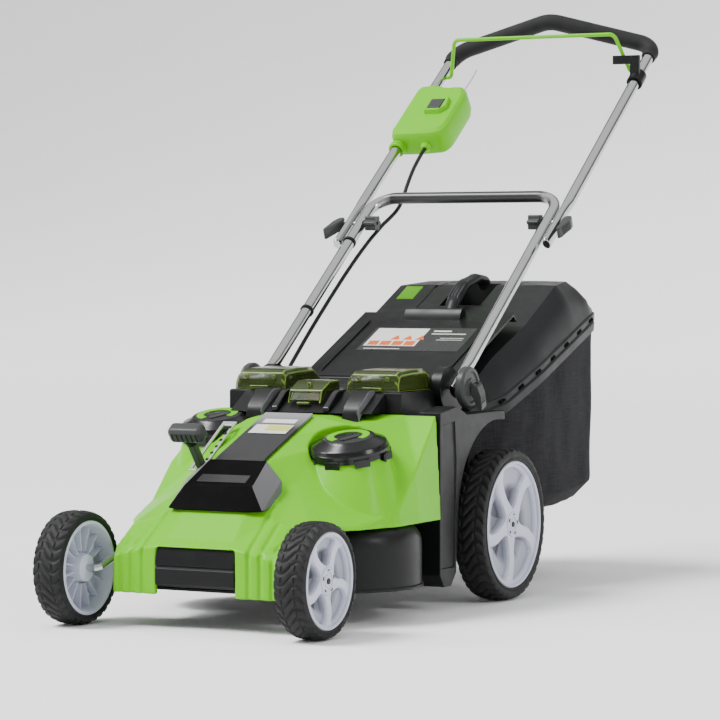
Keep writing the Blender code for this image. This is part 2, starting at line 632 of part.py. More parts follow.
def cam_lever(name, side, x, y, z, heading, length, bore):
    """A cam with its curved lever, turning about a pin square to the lever, with a slot for the bolt's end."""
    out = Vector((side, 0, 0))
    ahead = Vector((0, math.cos(heading), math.sin(heading)))
    place = Matrix((ahead, out.cross(ahead), out)).transposed().to_4x4()
    place.translation = Vector((side * x, y, z))
    profile = [(0.0100, -CAM_HEEL), (length, 0.0025), (length - 0.004, 0.0085), (0.012, 0.0100),
               *arc((0, 0), CAM_HEEL, 90, 270, 6)]
    lever = loft(name, [[(a, w, h) for a, h in profile] for w in (-0.009, 0.009)])
    slot = box(f"{name}_slot", (-0.012, -bore, -0.012), (bore, bore, bore), (0, 0, 0))
    for piece in (lever, slot):
        piece.data.transform(Matrix.Translation(-place.translation) @ place)
        piece.location = place.translation
    return cut(lever, slot)


def build_upper_handle():
    """The upper tube with its raised middle, the foam over it and what is fixed to it."""
    x = UPPER_LEG_X
    apex = Vector((0, GRIP_APEX_Y, GRIP_APEX_Z))
    corners = [leg_point(-x, UPPER_START), leg_point(-x, GRIP_REACH), apex, leg_point(x, GRIP_REACH),
               leg_point(x, UPPER_START)]
    path = bent(corners, [0.032, 0.070, 0.032])
    clamp_y, clamp_z = along_handle(CLAMP_REACH)
    fold = (0, clamp_y, clamp_z)
    handle = tube("upper_handle", path, TUBE, origin=fold)
    for tag, side in SIDES.items():
        cut(handle, rod(f"upper_bore_{tag}", (side * x, clamp_y, clamp_z), 0.0034, 0.06, "X", 12))
    keep(handle, "chrome_tube")
    foam_ends = [leg_point(-x, 0.975), *path[1:-1], leg_point(x, 0.975)]
    grip = tube("grip", foam_ends, FOAM, origin=fold)
    core_ends = [leg_point(-x, 0.955), *path[1:-1], leg_point(x, 0.955)]
    keep(cut(grip, tube("grip_core", core_ends, TUBE + 0.0005)), "foam")


def build_clamps():
    """Between the two handles, each side: a bolt, a lobed nut inside and a cam lever outside."""
    y, z = along_handle(CLAMP_REACH)
    for tag, side in SIDES.items():
        keep(rod(f"clamp_bolt_{tag}", (side * 0.1945, y, z), 0.0030, 0.064, "X", 12), "plated_steel")
        outline = []
        for k in range(12):
            reach = 0.0150 if k % 2 else 0.0110
            outline.append((y + reach * math.cos(k * math.pi / 6), z + reach * math.sin(k * math.pi / 6)))
        low, high = sorted((side * 0.1515, side * 0.1725))
        nut = side_plate(f"clamp_nut_{tag}", outline, low, high, (side * 0.162, y, z))
        keep(cut(nut, rod(f"nut_bore_{tag}", (side * 0.162, y, z), 0.0034, 0.04, "X", 12)), "grey_plastic")
        lever = cam_lever(f"clamp_cam_{tag}", side, 0.2255, y, z, math.radians(200), 0.060, 0.0036)
        keep(lever, "grey_plastic")


BAIL_FOOT_REACH, BAIL_X = 0.930, 0.1900


def build_bail():
    """The start bail, a bent wire hinged inside the legs, and the plate that guides it."""
    foot_y, foot_z = along_handle(BAIL_FOOT_REACH)
    top_y, top_z = 0.945, 0.988
    x = BAIL_X - 0.004
    corners = [(-BAIL_X - 0.0055, foot_y, foot_z), (-x, foot_y, foot_z), (-0.165, top_y, top_z), (0.165, top_y, top_z),
               (x, foot_y, foot_z), (BAIL_X + 0.0055, foot_y, foot_z)]
    path = bent(corners, [0.008, 0.014, 0.014, 0.008], 3)
    keep(tube("bail", path, 0.0036, origin=(0, foot_y, foot_z)), "green_plastic")
    reach = 0.905
    bracket = loft("bail_bracket", [
        [tuple(leg_point(UPPER_LEG_X + a, r, b)) for a, b in ((-0.013, -0.013), (0.013, -0.013), (0.013, 0.013),
                                                              (-0.013, 0.013))]
        for r in (reach - 0.014, reach + 0.014)
    ])
    y, z = along_handle(reach)
    stem = box("bracket_stem", (0.1975, y - 0.011, z), (0.2155, y - 0.004, z + 0.044))
    bar = box("bracket_bar", (0.1630, y - 0.011, z + 0.028), (0.2155, y - 0.004, z + 0.044))
    clear = tube("bracket_bore", [leg_point(UPPER_LEG_X, 0.86), leg_point(UPPER_LEG_X, 0.95)], TUBE + 0.0005)
    keep(cut(fuse(bracket, stem, bar), clear), "black_plastic", smooth=False)


def build_switch_box():
    """The green switch housing round the leg at -X, with its button."""
    x = -UPPER_LEG_X
    profile = [(0.650, -0.020, 0.022), (0.672, -0.024, 0.030), (0.800, -0.026, 0.034), (0.860, -0.022, 0.028),
               (0.868, -0.016, 0.020)]
    outlines = []
    for reach, low, high in profile:
        inner = 0.030 if reach < 0.66 else 0.070 if reach < 0.69 else 0.085 if reach < 0.84 else 0.060
        ring = [(-0.018, low * 0.6), (0.0, low), (inner - 0.012, low), (inner, low * 0.5), (inner, high * 0.5),
                (inner - 0.012, high), (0.0, high), (-0.018, high * 0.6)]
        outlines.append([tuple(leg_point(x + a, reach, b)) for a, b in ring])
    y, z = along_handle(0.76)
    body = loft("switch_box", outlines, (x, y, z))
    cut(body, tube("box_bore", [leg_point(x, 0.60), leg_point(x, 0.92)], TUBE + 0.0005))
    keep(cut(body, button_solid("button_well", 0.0142, 0.0150, 0.020, 0.040)), "green_plastic", smooth=False)
    keep(button_solid("start_button", 0.0132, 0.0140, 0.0246, 0.0390), "grey_plastic", smooth=False)


def button_solid(name, half_x, half_along, low, high):
    """A square post through the top of the switch housing."""
    x, reach = -UPPER_LEG_X + 0.038, 0.775
    outlines = []
    for rise in (low, high):
        corners = ((-half_x, -half_along), (half_x, -half_along), (half_x, half_along), (-half_x, half_along))
        outlines.append([tuple(leg_point(x + a, reach + b, rise)) for a, b in corners])
    y, z = along_handle(reach, (low + high) / 2)
    return loft(name, outlines, (x, y, z))


UPPER_CABLE = [(-0.152, 0.655, 0.004), (-0.150, 0.630, 0.001), (-0.147, 0.590, -0.010), (-0.146, 0.550, -0.020),
               (-0.148, 0.520, -0.022), (-0.156, 0.480, -0.020)]
LOWER_CABLE = [(-0.156, 0.4795, -0.020), (-0.166, 0.430, -0.022), (-0.171, 0.360, -0.022), (-0.172, 0.280, -0.021),
               (-0.172, 0.180, -0.021), (-0.170, 0.110, -0.021), (-0.166, 0.070, -0.018), (-0.160, 0.050, -0.014)]


def smooth_route(places, step):
    """Points about step apart on a smooth curve through the route's own places."""
    knots = [leg_point(x, reach, rise) for x, reach, rise in places]
    padded = [2 * knots[0] - knots[1], *knots, 2 * knots[-1] - knots[-2]]
    points = [knots[0]]
    for a, b, c, d in zip(padded, padded[1:], padded[2:], padded[3:]):
        pieces = max(1, round((c - b).length / step))
        for k in range(1, pieces + 1):
            t = k / pieces
            points.append(0.5 * (2 * b + (c - a) * t + (2 * a - 5 * b + 4 * c - d) * t * t
                                 + (3 * b - a - 3 * c + d) * t ** 3))
    return points


def build_cable():
    """The cable from the switch box to the battery housing, in two lengths that meet by the clamp."""
    fold = (0, *along_handle(CLAMP_REACH))
    keep(tube("cable_upper", smooth_route(UPPER_CABLE, 0.018), 0.0036, origin=fold), "cable_rubber")
    keep(tube("cable_lower", smooth_route(LOWER_CABLE, 0.018), 0.0036, origin=fold), "cable_rubber")


# ---- discharge door and grass bag ----
def build_door():
    """The sprung door over the chute: a plate with a pull lip, rolled round the hinge rod."""
    slope = math.radians(24.3)
    ahead, up = Vector((0, math.cos(slope), math.sin(slope))), Vector((0, -math.sin(slope), math.cos(slope)))
    hinge = Vector((0, DOOR_HINGE_Y, DOOR_HINGE_Z))

    def at(reach, rise):
        place = hinge + ahead * reach + up * rise
        return place.y, place.z

    sheet = [at(0.0, 0.0044), at(0.252, 0.0035), at(0.258, -0.010), at(0.262, -0.010), at(0.256, 0.0080),
             at(0.0, 0.0080)]
    door = side_plate("discharge_door", sheet, -0.1470, 0.1470, hinge)
    knuckle = rod("door_knuckle", hinge, 0.0068, 0.290, "X", 12)
    lip = side_plate("door_lip", [at(0.226, 0.006), at(0.250, 0.006), at(0.248, 0.022), at(0.232, 0.022)], -0.055, 0.055)
    cut(fuse(door, knuckle, lip), rod("knuckle_bore", hinge, 0.0034, 0.40, "X", 12))
    keep(door, "black_plastic", smooth=False)


# Stations of the bag from mouth to back: y, the cloth's floor, the rim's height, the lid's top, the half widths
# of floor, rim and top.
BAG_STATIONS = [
    (BAG_FRONT, 0.178, 0.300, 0.338, 0.140, 0.150, 0.138),
    (0.440, 0.150, 0.322, 0.398, 0.165, 0.180, 0.150),
    (0.560, 0.124, 0.372, 0.452, 0.180, 0.194, 0.158),
    (0.700, 0.128, 0.425, 0.522, 0.180, 0.194, 0.155),
    (0.790, 0.136, 0.455, 0.530, 0.176, 0.190, 0.138),
    (BAG_BACK, 0.150, 0.459, 0.505, 0.172, 0.184, 0.125),
]


def cloth_outlines(inset, over):
    """Sections of the bag's cloth, from its floor to under the lid's rim."""
    outlines = []
    for k, (y, floor, rim, _, low, wide, _) in enumerate(BAG_STATIONS):
        y += -0.02 if inset and k == 0 else -inset if k == len(BAG_STATIONS) - 1 else 0
        low, wide, foot, top = low - inset, wide - inset - 0.002, floor + inset, rim - 0.0006 + over
        outlines.append([(-wide, y, top), (-wide, y, foot + 0.030), (0.02 - low, y, foot), (low - 0.02, y, foot),
                         (wide, y, foot + 0.030), (wide, y, top)])
    return outlines


def lid_outlines(inset, drop):
    """Sections of the bag's hard lid, from its rim to its crown."""
    outlines = []
    for k, (y, _, rim, top, _, wide, crown) in enumerate(BAG_STATIONS):
        y += inset if k == 0 else -inset if k == len(BAG_STATIONS) - 1 else 0
        wide, crown, shoulder = wide - inset, crown - inset, rim + 0.55 * (top - rim) - inset
        outlines.append([(-wide, y, rim - drop), (-wide, y, rim + 0.02 - inset), (-wide + 0.012, y, shoulder),
                         (-crown, y, top - inset), (crown, y, top - inset), (wide - 0.012, y, shoulder),
                         (wide, y, rim + 0.02 - inset), (wide, y, rim - drop)])
    return outlines


def finger_well(inset):
    """The recess in the bag's lid under its carry handle."""
    return box(f"finger_well_{inset}", (-0.040 - inset, 0.620 - inset, 0.4850 - inset),
               (0.040 + inset, 0.7270 + inset, 0.60))


def build_bag():
    """The grass bag: an open-fronted cloth body, a hard lid with its carry handle, and the bag-full flap."""
    cloth = loft("bag_fabric", cloth_outlines(0, 0))
    keep(cut(cloth, loft("bag_inside", cloth_outlines(0.004, 0.02))), "bag_cloth", smooth=False)
    lid = cut(loft("bag_lid", lid_outlines(0, 0)), finger_well(0))
    cut(lid, cut(loft("lid_inside", lid_outlines(0.004, 0.02)), finger_well(0.004)))
    spine = [(0, 0.572, 0.4500), (0, 0.600, 0.4900), (0, 0.640, 0.5215), (0, 0.690, 0.5345), (0, 0.728, 0.5310),
             (0, 0.738, 0.5100)]
    carry = tube("carry_handle", bent(spine, 0.012, 2), 0.0105)
    fuse(lid, carry)
    cut(lid, box("flap_seat", (-0.1407, 0.6505, 0.45), (-0.1053, 0.6955, 0.56)))
    keep(lid, "grey_plastic", smooth=False)
    build_flap()


def build_flap():
    """The bag-full flap, resting in its opening in the lid."""
    outline = [(0.6512, 0.4941), (0.6948, 0.5159), (0.6948, 0.5199), (0.6512, 0.4981)]
    flap = side_plate("bag_full_flap", outline, -0.1400, -0.1060, (-0.123, 0.6512, 0.4961))
    keep(flap, "green_plastic", smooth=False)


def start_scene():
    """Clears the scene and makes the collections and the empty that holds the mower."""
    global PARTS, CUTTERS, MOWER
    for old in list(bpy.data.objects):
        bpy.data.objects.remove(old, do_unlink=True)
    PARTS = bpy.data.collections.new("lawn_mower")
    CUTTERS = bpy.data.collections.new("cutters")
    bpy.context.scene.collection.children.link(PARTS)
    bpy.context.scene.collection.children.link(CUTTERS)
    MOWER = bpy.data.objects.new("mower", None)
    MOWER.location = (0, MID_AXLE_Y, 0)
    PARTS.objects.link(MOWER)


def main():
    start_scene()
    build_running_gear()
    build_deck()
    build_top_cover()
    build_bumper_and_panel()
    build_motor_units()
    build_battery_housing()
    build_lids()
    build_side_panels()
    build_height_lever()
    build_lower_handle()
    build_pivots()
    build_upper_handle()
    build_clamps()
    build_bail()
    build_switch_box()
    build_cable()
    build_door()
    build_bag()


main()
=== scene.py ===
"""A cordless electric lawn mower with its finished look, built over the packed frame.

Shapes are drawn in the mower's own frame: -Y is its front, +X is on the left of a user behind it, Z is up
from the ground and y = 0 is midway between the axles. make_piece moves a shape into the frame's place.
"""

import math

import bmesh
import bpy
from bpy.props import FloatProperty, FloatVectorProperty, IntProperty, PointerProperty
from mathutils import Matrix, Vector, noise


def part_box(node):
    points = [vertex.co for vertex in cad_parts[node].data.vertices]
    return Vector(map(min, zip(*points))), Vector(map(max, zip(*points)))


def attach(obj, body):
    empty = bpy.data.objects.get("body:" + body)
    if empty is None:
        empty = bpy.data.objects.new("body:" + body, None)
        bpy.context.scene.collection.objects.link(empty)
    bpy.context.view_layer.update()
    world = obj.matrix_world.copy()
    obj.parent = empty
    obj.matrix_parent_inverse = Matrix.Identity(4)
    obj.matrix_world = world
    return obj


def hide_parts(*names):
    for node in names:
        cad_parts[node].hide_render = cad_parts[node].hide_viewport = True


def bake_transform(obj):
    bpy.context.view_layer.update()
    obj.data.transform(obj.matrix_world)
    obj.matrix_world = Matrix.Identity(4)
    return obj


bl_info = {
    "name": "Cordless lawn mower",
    "version": (1, 0, 0),
    "blender": (4, 5, 0),
    "location": "3D View > Sidebar > Mower",
    "description": "Builds the finished pieces of a cordless electric lawn mower",
    "category": "Object",
}

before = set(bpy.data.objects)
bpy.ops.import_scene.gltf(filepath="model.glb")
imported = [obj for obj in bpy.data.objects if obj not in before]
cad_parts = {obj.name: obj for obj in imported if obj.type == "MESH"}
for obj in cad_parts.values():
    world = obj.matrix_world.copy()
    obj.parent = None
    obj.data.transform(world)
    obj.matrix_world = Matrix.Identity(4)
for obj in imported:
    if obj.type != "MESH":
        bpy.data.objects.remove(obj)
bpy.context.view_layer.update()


def centre_of(node):
    low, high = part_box(node)
    return (low + high) / 2


# ---- the mower's own measures, in metres; L and R are the sides as seen from its front ----
MID_Y = (centre_of("tyre_front_R").y + centre_of("tyre_rear_R").y) / 2
HALF_WHEELBASE = (centre_of("tyre_rear_R").y - centre_of("tyre_front_R").y) / 2
HANDLE_ANGLE = math.radians(37.1)
PIVOT_Y, PIVOT_Z = 0.233, 0.358
LOWER_LEG_X, UPPER_LEG_X = 0.1845, 0.2065
TUBE, TUBE_SIDES, FIT = 0.0105, 40, 0.0005
CLAMP_REACH, CROSSBAR_REACH, UPPER_START, GRIP_REACH = 0.458, 0.535, 0.393, 1.015
GRIP_APEX_Y, GRIP_APEX_Z = 1.022, 1.024
LOBE_RADIUS, SPINDLE_X = 0.127, 0.118
SPINDLE_Y = {1: -0.045, -1: 0.030}
CAP_CENTRE = {1: (0.135, -0.050, 0.264), -1: (-0.145, 0.020, 0.289)}
CAP_RADIUS = 0.063
CAP_LEAN = math.radians(13)
CAP_FOOT, COVER_HALF = 0.1512, 0.233
BUTTON_X, BUTTON_REACH = 0.056, 0.785
DOOR_HINGE_Y, DOOR_HINGE_Z = 0.3125, 0.3620
DOOR_SLOPE = math.radians(24.3)
LEVER_X, LEVER_Y, LEVER_Z, LEVER_LEAN = -0.088, -0.080, 0.172, math.radians(38)
SIDES = {"L": -1, "R": 1}


# ---- settings a user would change ----
class MowerSizes(bpy.types.PropertyGroup):
    """Sizes of the mower's finer shapes."""

    edge: FloatProperty(
        name="Moulded edge", description="Radius of the edges of moulded pieces", default=0.0016,
        unit="LENGTH",
    )
    cover_cell: FloatProperty(
        name="Cover cell", description="Cell size of the green cover's remesh", default=0.0021,
        unit="LENGTH",
    )
    tread_depth: FloatProperty(
        name="Tread depth", description="Depth of the grooves in the tyres", default=0.0026, unit="LENGTH"
    )
    front_lugs: IntProperty(name="Front lugs", description="Tread blocks round a front tyre", default=32)
    rear_lugs: IntProperty(name="Rear lugs", description="Tread blocks round a rear tyre", default=40)
    spokes: IntProperty(name="Spokes", description="Spokes of each rim", default=5)
    cable: FloatProperty(
        name="Cable", description="Diameter of the switch cable", default=0.0072, unit="LENGTH"
    )


def colour_setting(name, description, default):
    return FloatVectorProperty(
        name=name, description=description, default=default, subtype="COLOR", min=0, max=1
    )


class MowerColours(bpy.types.PropertyGroup):
    """Colours of the mower's mouldings, tubes and cloth."""

    green: colour_setting("Green", "Cover, switch box and bail", (0.125, 0.470, 0.0002))
    black: colour_setting("Black", "Deck, housing, door and caps", (0.0065, 0.0067, 0.0072))
    grey: colour_setting("Grey", "Levers, lid and knobs", (0.0125, 0.0130, 0.0138))
    silver: colour_setting("Silver", "Rear end of the middle panel", (0.36, 0.36, 0.37))
    rim: colour_setting("Rim", "Wheel rims", (0.50, 0.52, 0.62))
    tyre: colour_setting("Tyre", "Tyre rubber", (0.0090, 0.0090, 0.0094))
    tint: colour_setting("Tint", "See-through lids", (0.026, 0.042, 0.004))
    cloth: colour_setting("Cloth", "Grass bag", (0.0085, 0.0085, 0.0100))


def sizes():
    return bpy.context.scene.mower_sizes


def colours():
    return bpy.context.scene.mower_colours


# ---- materials ----
class Value:
    """A number in a material, on which sums can be written."""

    def __init__(self, sheet, socket):
        self.sheet, self.socket = sheet, socket

    def sum(self, operation, *others):
        return self.sheet.math(operation, self, *others)

    def __add__(self, other):
        return self.sum("ADD", other)

    def __mul__(self, other):
        return self.sum("MULTIPLY", other)

    def __sub__(self, other):
        return self.sum("SUBTRACT", other)

    def __rsub__(self, other):
        return self.sheet.math("SUBTRACT", other, self)

    __radd__, __rmul__ = __add__, __mul__


class Finish:
    """A Principled material being put together."""

    def __init__(self, name, **constants):
        self.material = bpy.data.materials.new(name)
        self.material.use_nodes = True
        self.tree = self.material.node_tree
        self.shader = self.tree.nodes["Principled BSDF"]
        for socket, value in constants.items():
            self.shader.inputs[socket.replace("_", " ")].default_value = value

    def node(self, kind, settings=(), values=()):
        """A node with its settings made first, then its sockets' values or links."""
        made = self.tree.nodes.new(kind)
        for key, value in dict(settings).items():
            if key == "stops":
                ramp = made.color_ramp.elements
                while len(ramp) < len(value):
                    ramp.new(0.5)
                for stop, (place, colour) in zip(ramp, value):
                    stop.position, stop.color = place, colour
            else:
                setattr(made, key, value)
        for key, value in dict(values).items():
            self.feed(made.inputs[key], value)
        return made

    def feed(self, socket, value):
        if isinstance(value, Value):
            self.tree.links.new(value.socket, socket)
        elif isinstance(value, bpy.types.NodeSocket):
            self.tree.links.new(value, socket)
        else:
            socket.default_value = value

    def math(self, operation, *terms):
        made = self.node("ShaderNodeMath", {"operation": operation}, dict(enumerate(terms)))
        return Value(self, made.outputs[0])

    def place(self):
        return self.node("ShaderNodeTexCoord").outputs["Object"]

    def scaled(self, place, scale):
        return self.node("ShaderNodeMapping", {}, {"Vector": place, "Scale": scale}).outputs[0]

    def stretched(self, scale):
        """The object's coordinates stretched along each axis."""
        return self.scaled(self.place(), scale)

    def axis(self, name):
        return Value(self, self.node("ShaderNodeSeparateXYZ", {}, {0: self.place()}).outputs[name])

    def noise(self, scale, detail=2.0, where=None):
        where = self.place() if where is None else where
        made = self.node("ShaderNodeTexNoise", {}, {"Vector": where, "Scale": scale, "Detail": detail})
        return Value(self, made.outputs["Factor" if "Factor" in made.outputs else "Fac"])

    def ramp(self, value, low, high, from_low=0.0, from_high=1.0):
        made = self.node(
            "ShaderNodeMapRange", {"clamp": True},
            {"Value": value, "From Min": from_low, "From Max": from_high, "To Min": low, "To Max": high},
        )
        return Value(self, made.outputs["Result"])

    def mix(self, factor, first, second):
        """A colour between two."""
        made = self.node("ShaderNodeMix", {"data_type": "RGBA"})
        self.feed(made.inputs["Factor"], factor)
        self.feed(made.inputs[6], first)
        self.feed(made.inputs[7], second)
        return made.outputs[2]

    def paint(self, **sockets):
        for socket, value in sockets.items():
            self.feed(self.shader.inputs[socket.replace("_", " ")], value)
        return self

    def bump(self, height, distance, strength=1.0):
        made = self.node("ShaderNodeBump", {}, {"Height": height, "Distance": distance, "Strength": strength})
        self.feed(self.shader.inputs["Normal"], made.outputs[0])
        return self


def rgba(colour, gain=1.0):
    return (*(min(1.0, c * gain) for c in colour[:3]), 1.0)


def moulded(
    name, colour, rough, grain=0.00004, grain_scale=900.0, shade=0.12, coat=0.0, wear=0.10, gloss=0.2,
    lift=1.0,
):
    """Injection-moulded plastic: slight cloudiness, fine texture and a little uneven gloss."""
    sheet = Finish(name, Coat_Weight=coat, Coat_Roughness=0.08, IOR=1.45, Specular_IOR_Level=gloss)
    cloud = sheet.noise(9.0, 3.0)
    fine = sheet.noise(grain_scale, 2.0)
    # lift brightens the colour; the lids' edges use it as a painted highlight
    sheet.paint(
        Base_Color=sheet.mix(cloud, rgba(colour, lift * (1 - shade)), rgba(colour, lift * (1 + shade))),
        Roughness=sheet.ramp(sheet.noise(35.0, 4.0), rough - wear / 2, rough + wear / 2, 0.3, 0.7),
    )
    return sheet.bump(fine, grain, 0.6).material


def green_moulding():
    return moulded("green_moulding", colours().green, 0.36, 0.00001, 500.0, 0.04, 0.03, 0.06, 0.14)


def black_moulding():
    return moulded("black_moulding", colours().black, 0.36, 0.00004, 1200.0, 0.20)


def black_gloss():
    return moulded("black_gloss", colours().black, 0.25, 0.000008, 700.0, 0.15, 0.08, 0.08, 0.35)


def grey_moulding():
    return moulded("grey_moulding", colours().grey, 0.38, 0.00004, 1100.0, 0.15)


def lever_grey():
    return moulded("lever_grey", (0.040, 0.044, 0.042), 0.34, 0.00003, 1000.0, 0.12)


# painted light: grey for the side facets that face the light
def lit_facet_grey():
    return moulded("lit_facet_grey", (0.105, 0.105, 0.11), 0.34, 0.00002, 900.0, 0.08)


def rim_with_painted_shade(name, outer):
    """Pale rim plastic, greyer towards the floors of the pockets; outer is the rim's outer face."""
    sheet = Finish(name, Coat_Weight=0.10, Coat_Roughness=0.08, IOR=1.45, Specular_IOR_Level=0.2)
    depth = outer - sheet.math("ABSOLUTE", sheet.axis("X"))
    cloud = sheet.noise(9.0, 3.0)
    face = sheet.mix(cloud, rgba(colours().rim, 0.96), rgba(colours().rim, 1.04))
    # painted shade: the colour darkens with depth into the pockets, as shade would
    middle = sheet.mix(sheet.ramp(depth, 0.0, 1.0, 0.0088, 0.0125), face, rgba(colours().rim, 0.62))
    floor = sheet.mix(sheet.ramp(depth, 0.0, 1.0, 0.0140, 0.0205), middle, rgba(colours().rim, 0.24))
    sheet.paint(
        Base_Color=sheet.mix(sheet.ramp(depth, 0.0, 1.0, 0.0225, 0.0232), floor, face),
        Roughness=sheet.ramp(sheet.noise(35.0, 4.0), 0.27, 0.34, 0.3, 0.7),
    )
    return sheet.bump(sheet.noise(700.0, 2.0), 0.00002, 0.6).material


def front_rim_moulding():
    return rim_with_painted_shade("front_rim_moulding", WHEELS["front"]["outer"])


def rear_rim_moulding():
    return rim_with_painted_shade("rear_rim_moulding", WHEELS["rear"]["outer"])


# matte near-black; as the bag rim's slots it is painted shade
def hollow_black():
    return moulded("hollow_black", (0.0015, 0.0015, 0.0015), 0.7, 0.00002, 700.0, 0.2, gloss=0.05)


def rib_grey():
    return moulded("rib_grey", (0.05, 0.05, 0.052), 0.33, 0.00003, 900.0, 0.10)


def key_red():
    return moulded("key_red_moulding", (0.50, 0.03, 0.02), 0.3, 0.00002, 900.0, 0.08)


def plate_white():
    return moulded("plate_white", (0.62, 0.62, 0.60), 0.30, 0.00001, 700.0, 0.03)


def plate_orange():
    return moulded("plate_orange", (0.62, 0.12, 0.012), 0.30, 0.00001, 700.0, 0.05)


def plate_yellow():
    return moulded("plate_yellow", (0.50, 0.53, 0.12), 0.30, 0.00001, 700.0, 0.05)


def plate_grey():
    return moulded("plate_grey", (0.032, 0.033, 0.034), 0.30, 0.00001, 700.0, 0.06)


def panel_paint():
    """The middle panel: silver at its rear end, running into dark grey."""
    sheet = Finish("panel_paint", Coat_Roughness=0.1, Specular_IOR_Level=0.14)
    along = sheet.axis("Y")
    fade = sheet.ramp(along, 0.0, 1.0, MID_Y - 0.060, MID_Y - 0.004)
    fleck = sheet.noise(2400.0, 1.0)
    colour = sheet.mix(fade, rgba((0.014, 0.014, 0.015)), rgba(colours().silver))
    sheet.paint(
        Base_Color=sheet.mix(sheet.ramp(fleck, 0.0, 0.10, 0.4, 0.7), colour, rgba((0.45, 0.45, 0.46))),
        Roughness=sheet.ramp(sheet.noise(30.0, 3.0), 0.26, 0.36),
        Metallic=sheet.ramp(fade, 0.0, 0.45),
    )
    return sheet.bump(fleck, 0.000006, 0.5).material


def smoky_lid():
    """See-through olive plastic, denser where it is seen edge on."""
    sheet = Finish("smoky_lid", Coat_Weight=0.10, Coat_Roughness=0.05, IOR=1.5, Specular_IOR_Level=0.30)
    edge = Value(sheet, sheet.node("ShaderNodeLayerWeight", {}, {"Blend": 0.30}).outputs["Facing"])
    cloud = sheet.noise(14.0, 2.0)
    sheet.paint(
        Base_Color=sheet.mix(cloud, rgba(colours().tint, 0.9), rgba(colours().tint, 1.2)),
        Roughness=sheet.ramp(cloud, 0.10, 0.18),
        Alpha=sheet.ramp(edge, 0.50, 0.90, 0.05, 0.8),
    )
    return sheet.bump(sheet.noise(260.0, 2.0), 0.00001, 0.4).material


def lid_edge_highlight():
    """The lids' thick rounded edges, where light gathers."""
    # painted highlight: the tint is brightened 4.5 times for the lids' bevelled edges
    return moulded("lid_edge_highlight", colours().tint, 0.16, 0.00001, 400.0, 0.12, 0.10, 0.06, 0.30, lift=4.5)


def tyre_rubber():
    sheet = Finish("tyre_tread_rubber", Specular_IOR_Level=0.25)
    dust = sheet.noise(60.0, 5.0)
    sheet.paint(
        Base_Color=sheet.mix(
            sheet.ramp(dust, 0.0, 0.55, 0.42, 0.72), rgba(colours().tyre), rgba(colours().tyre, 2.2)
        ),
        Roughness=sheet.ramp(dust, 0.52, 0.72, 0.3, 0.7),
    )
    return sheet.bump(sheet.noise(1500.0, 3.0), 0.00005, 0.7).material


def metal(name, colour, rough, streak=(1, 1, 1), depth=0.000004, scale=60.0):
    """Bare or plated metal with faint marks drawn out along one axis."""
    sheet = Finish(name, Metallic=1.0)
    marks = sheet.noise(scale, 4.0, sheet.stretched(streak))
    haze = sheet.noise(18.0, 3.0)
    sheet.paint(
        Base_Color=sheet.mix(haze, rgba(colour, 0.9), rgba(colour, 1.06)),
        Roughness=sheet.ramp(haze * 0.5 + marks * 0.5, rough * 0.75, rough * 1.35, 0.3, 0.7),
    )
    return sheet.bump(marks, depth, 0.4).material


def chrome():
    return metal("chrome_plate", (0.50, 0.50, 0.51), 0.10)


def folded_tube():
    """Chrome legs running into a black crossbar."""
    sheet = Finish("legs_and_crossbar")
    across = sheet.math("ABSOLUTE", sheet.axis("X"))
    # painted reflection: towards the middle the chrome turns into dark non-metal, standing in for the dark
    # the crossbar reflects
    bar = sheet.ramp(across, 1.0, 0.0, 0.150, 0.172)
    haze = sheet.noise(18.0, 3.0)
    plate = sheet.mix(haze, rgba((0.45, 0.45, 0.46)), rgba((0.53, 0.53, 0.54)))
    sheet.paint(
        Base_Color=sheet.mix(bar, plate, rgba((0.010, 0.010, 0.011))),
        Roughness=sheet.ramp(bar, 0.10, 0.30) + haze * 0.04,
        Metallic=sheet.ramp(bar, 1.0, 0.0),
    )
    return sheet.bump(sheet.noise(60.0, 4.0), 0.000004, 0.4).material


def zinc():
    return metal("zinc_plate", (0.52, 0.53, 0.54), 0.32, (14, 1, 1), 0.00001, 120.0)


def dark_steel():
    return metal("dark_steel", (0.09, 0.09, 0.095), 0.36, (12, 1, 1), 0.00001, 120.0)


def grip_foam():
    sheet = Finish("grip_foam", Sheen_Weight=0.03, Specular_IOR_Level=0.25)
    cells = sheet.node("ShaderNodeTexVoronoi", {}, {"Vector": sheet.place(), "Scale": 900.0})
    pores = Value(sheet, cells.outputs["Distance"])
    # painted shade: the foam is darker towards the middle of each pore, the low points of the bump
    sheet.paint(
        Base_Color=sheet.mix(pores, rgba((0.0035, 0.0035, 0.004)), rgba((0.012, 0.012, 0.0125))),
        Roughness=sheet.ramp(sheet.noise(50.0, 3.0), 0.62, 0.82),
    )
    return sheet.bump(pores * 0.7 + sheet.noise(60.0, 3.0) * 0.8, 0.00030, 0.7).material


def cable_sheath():
    return moulded("cable_sheath", (0.013, 0.013, 0.013), 0.40, 0.00002, 700.0, 0.2)


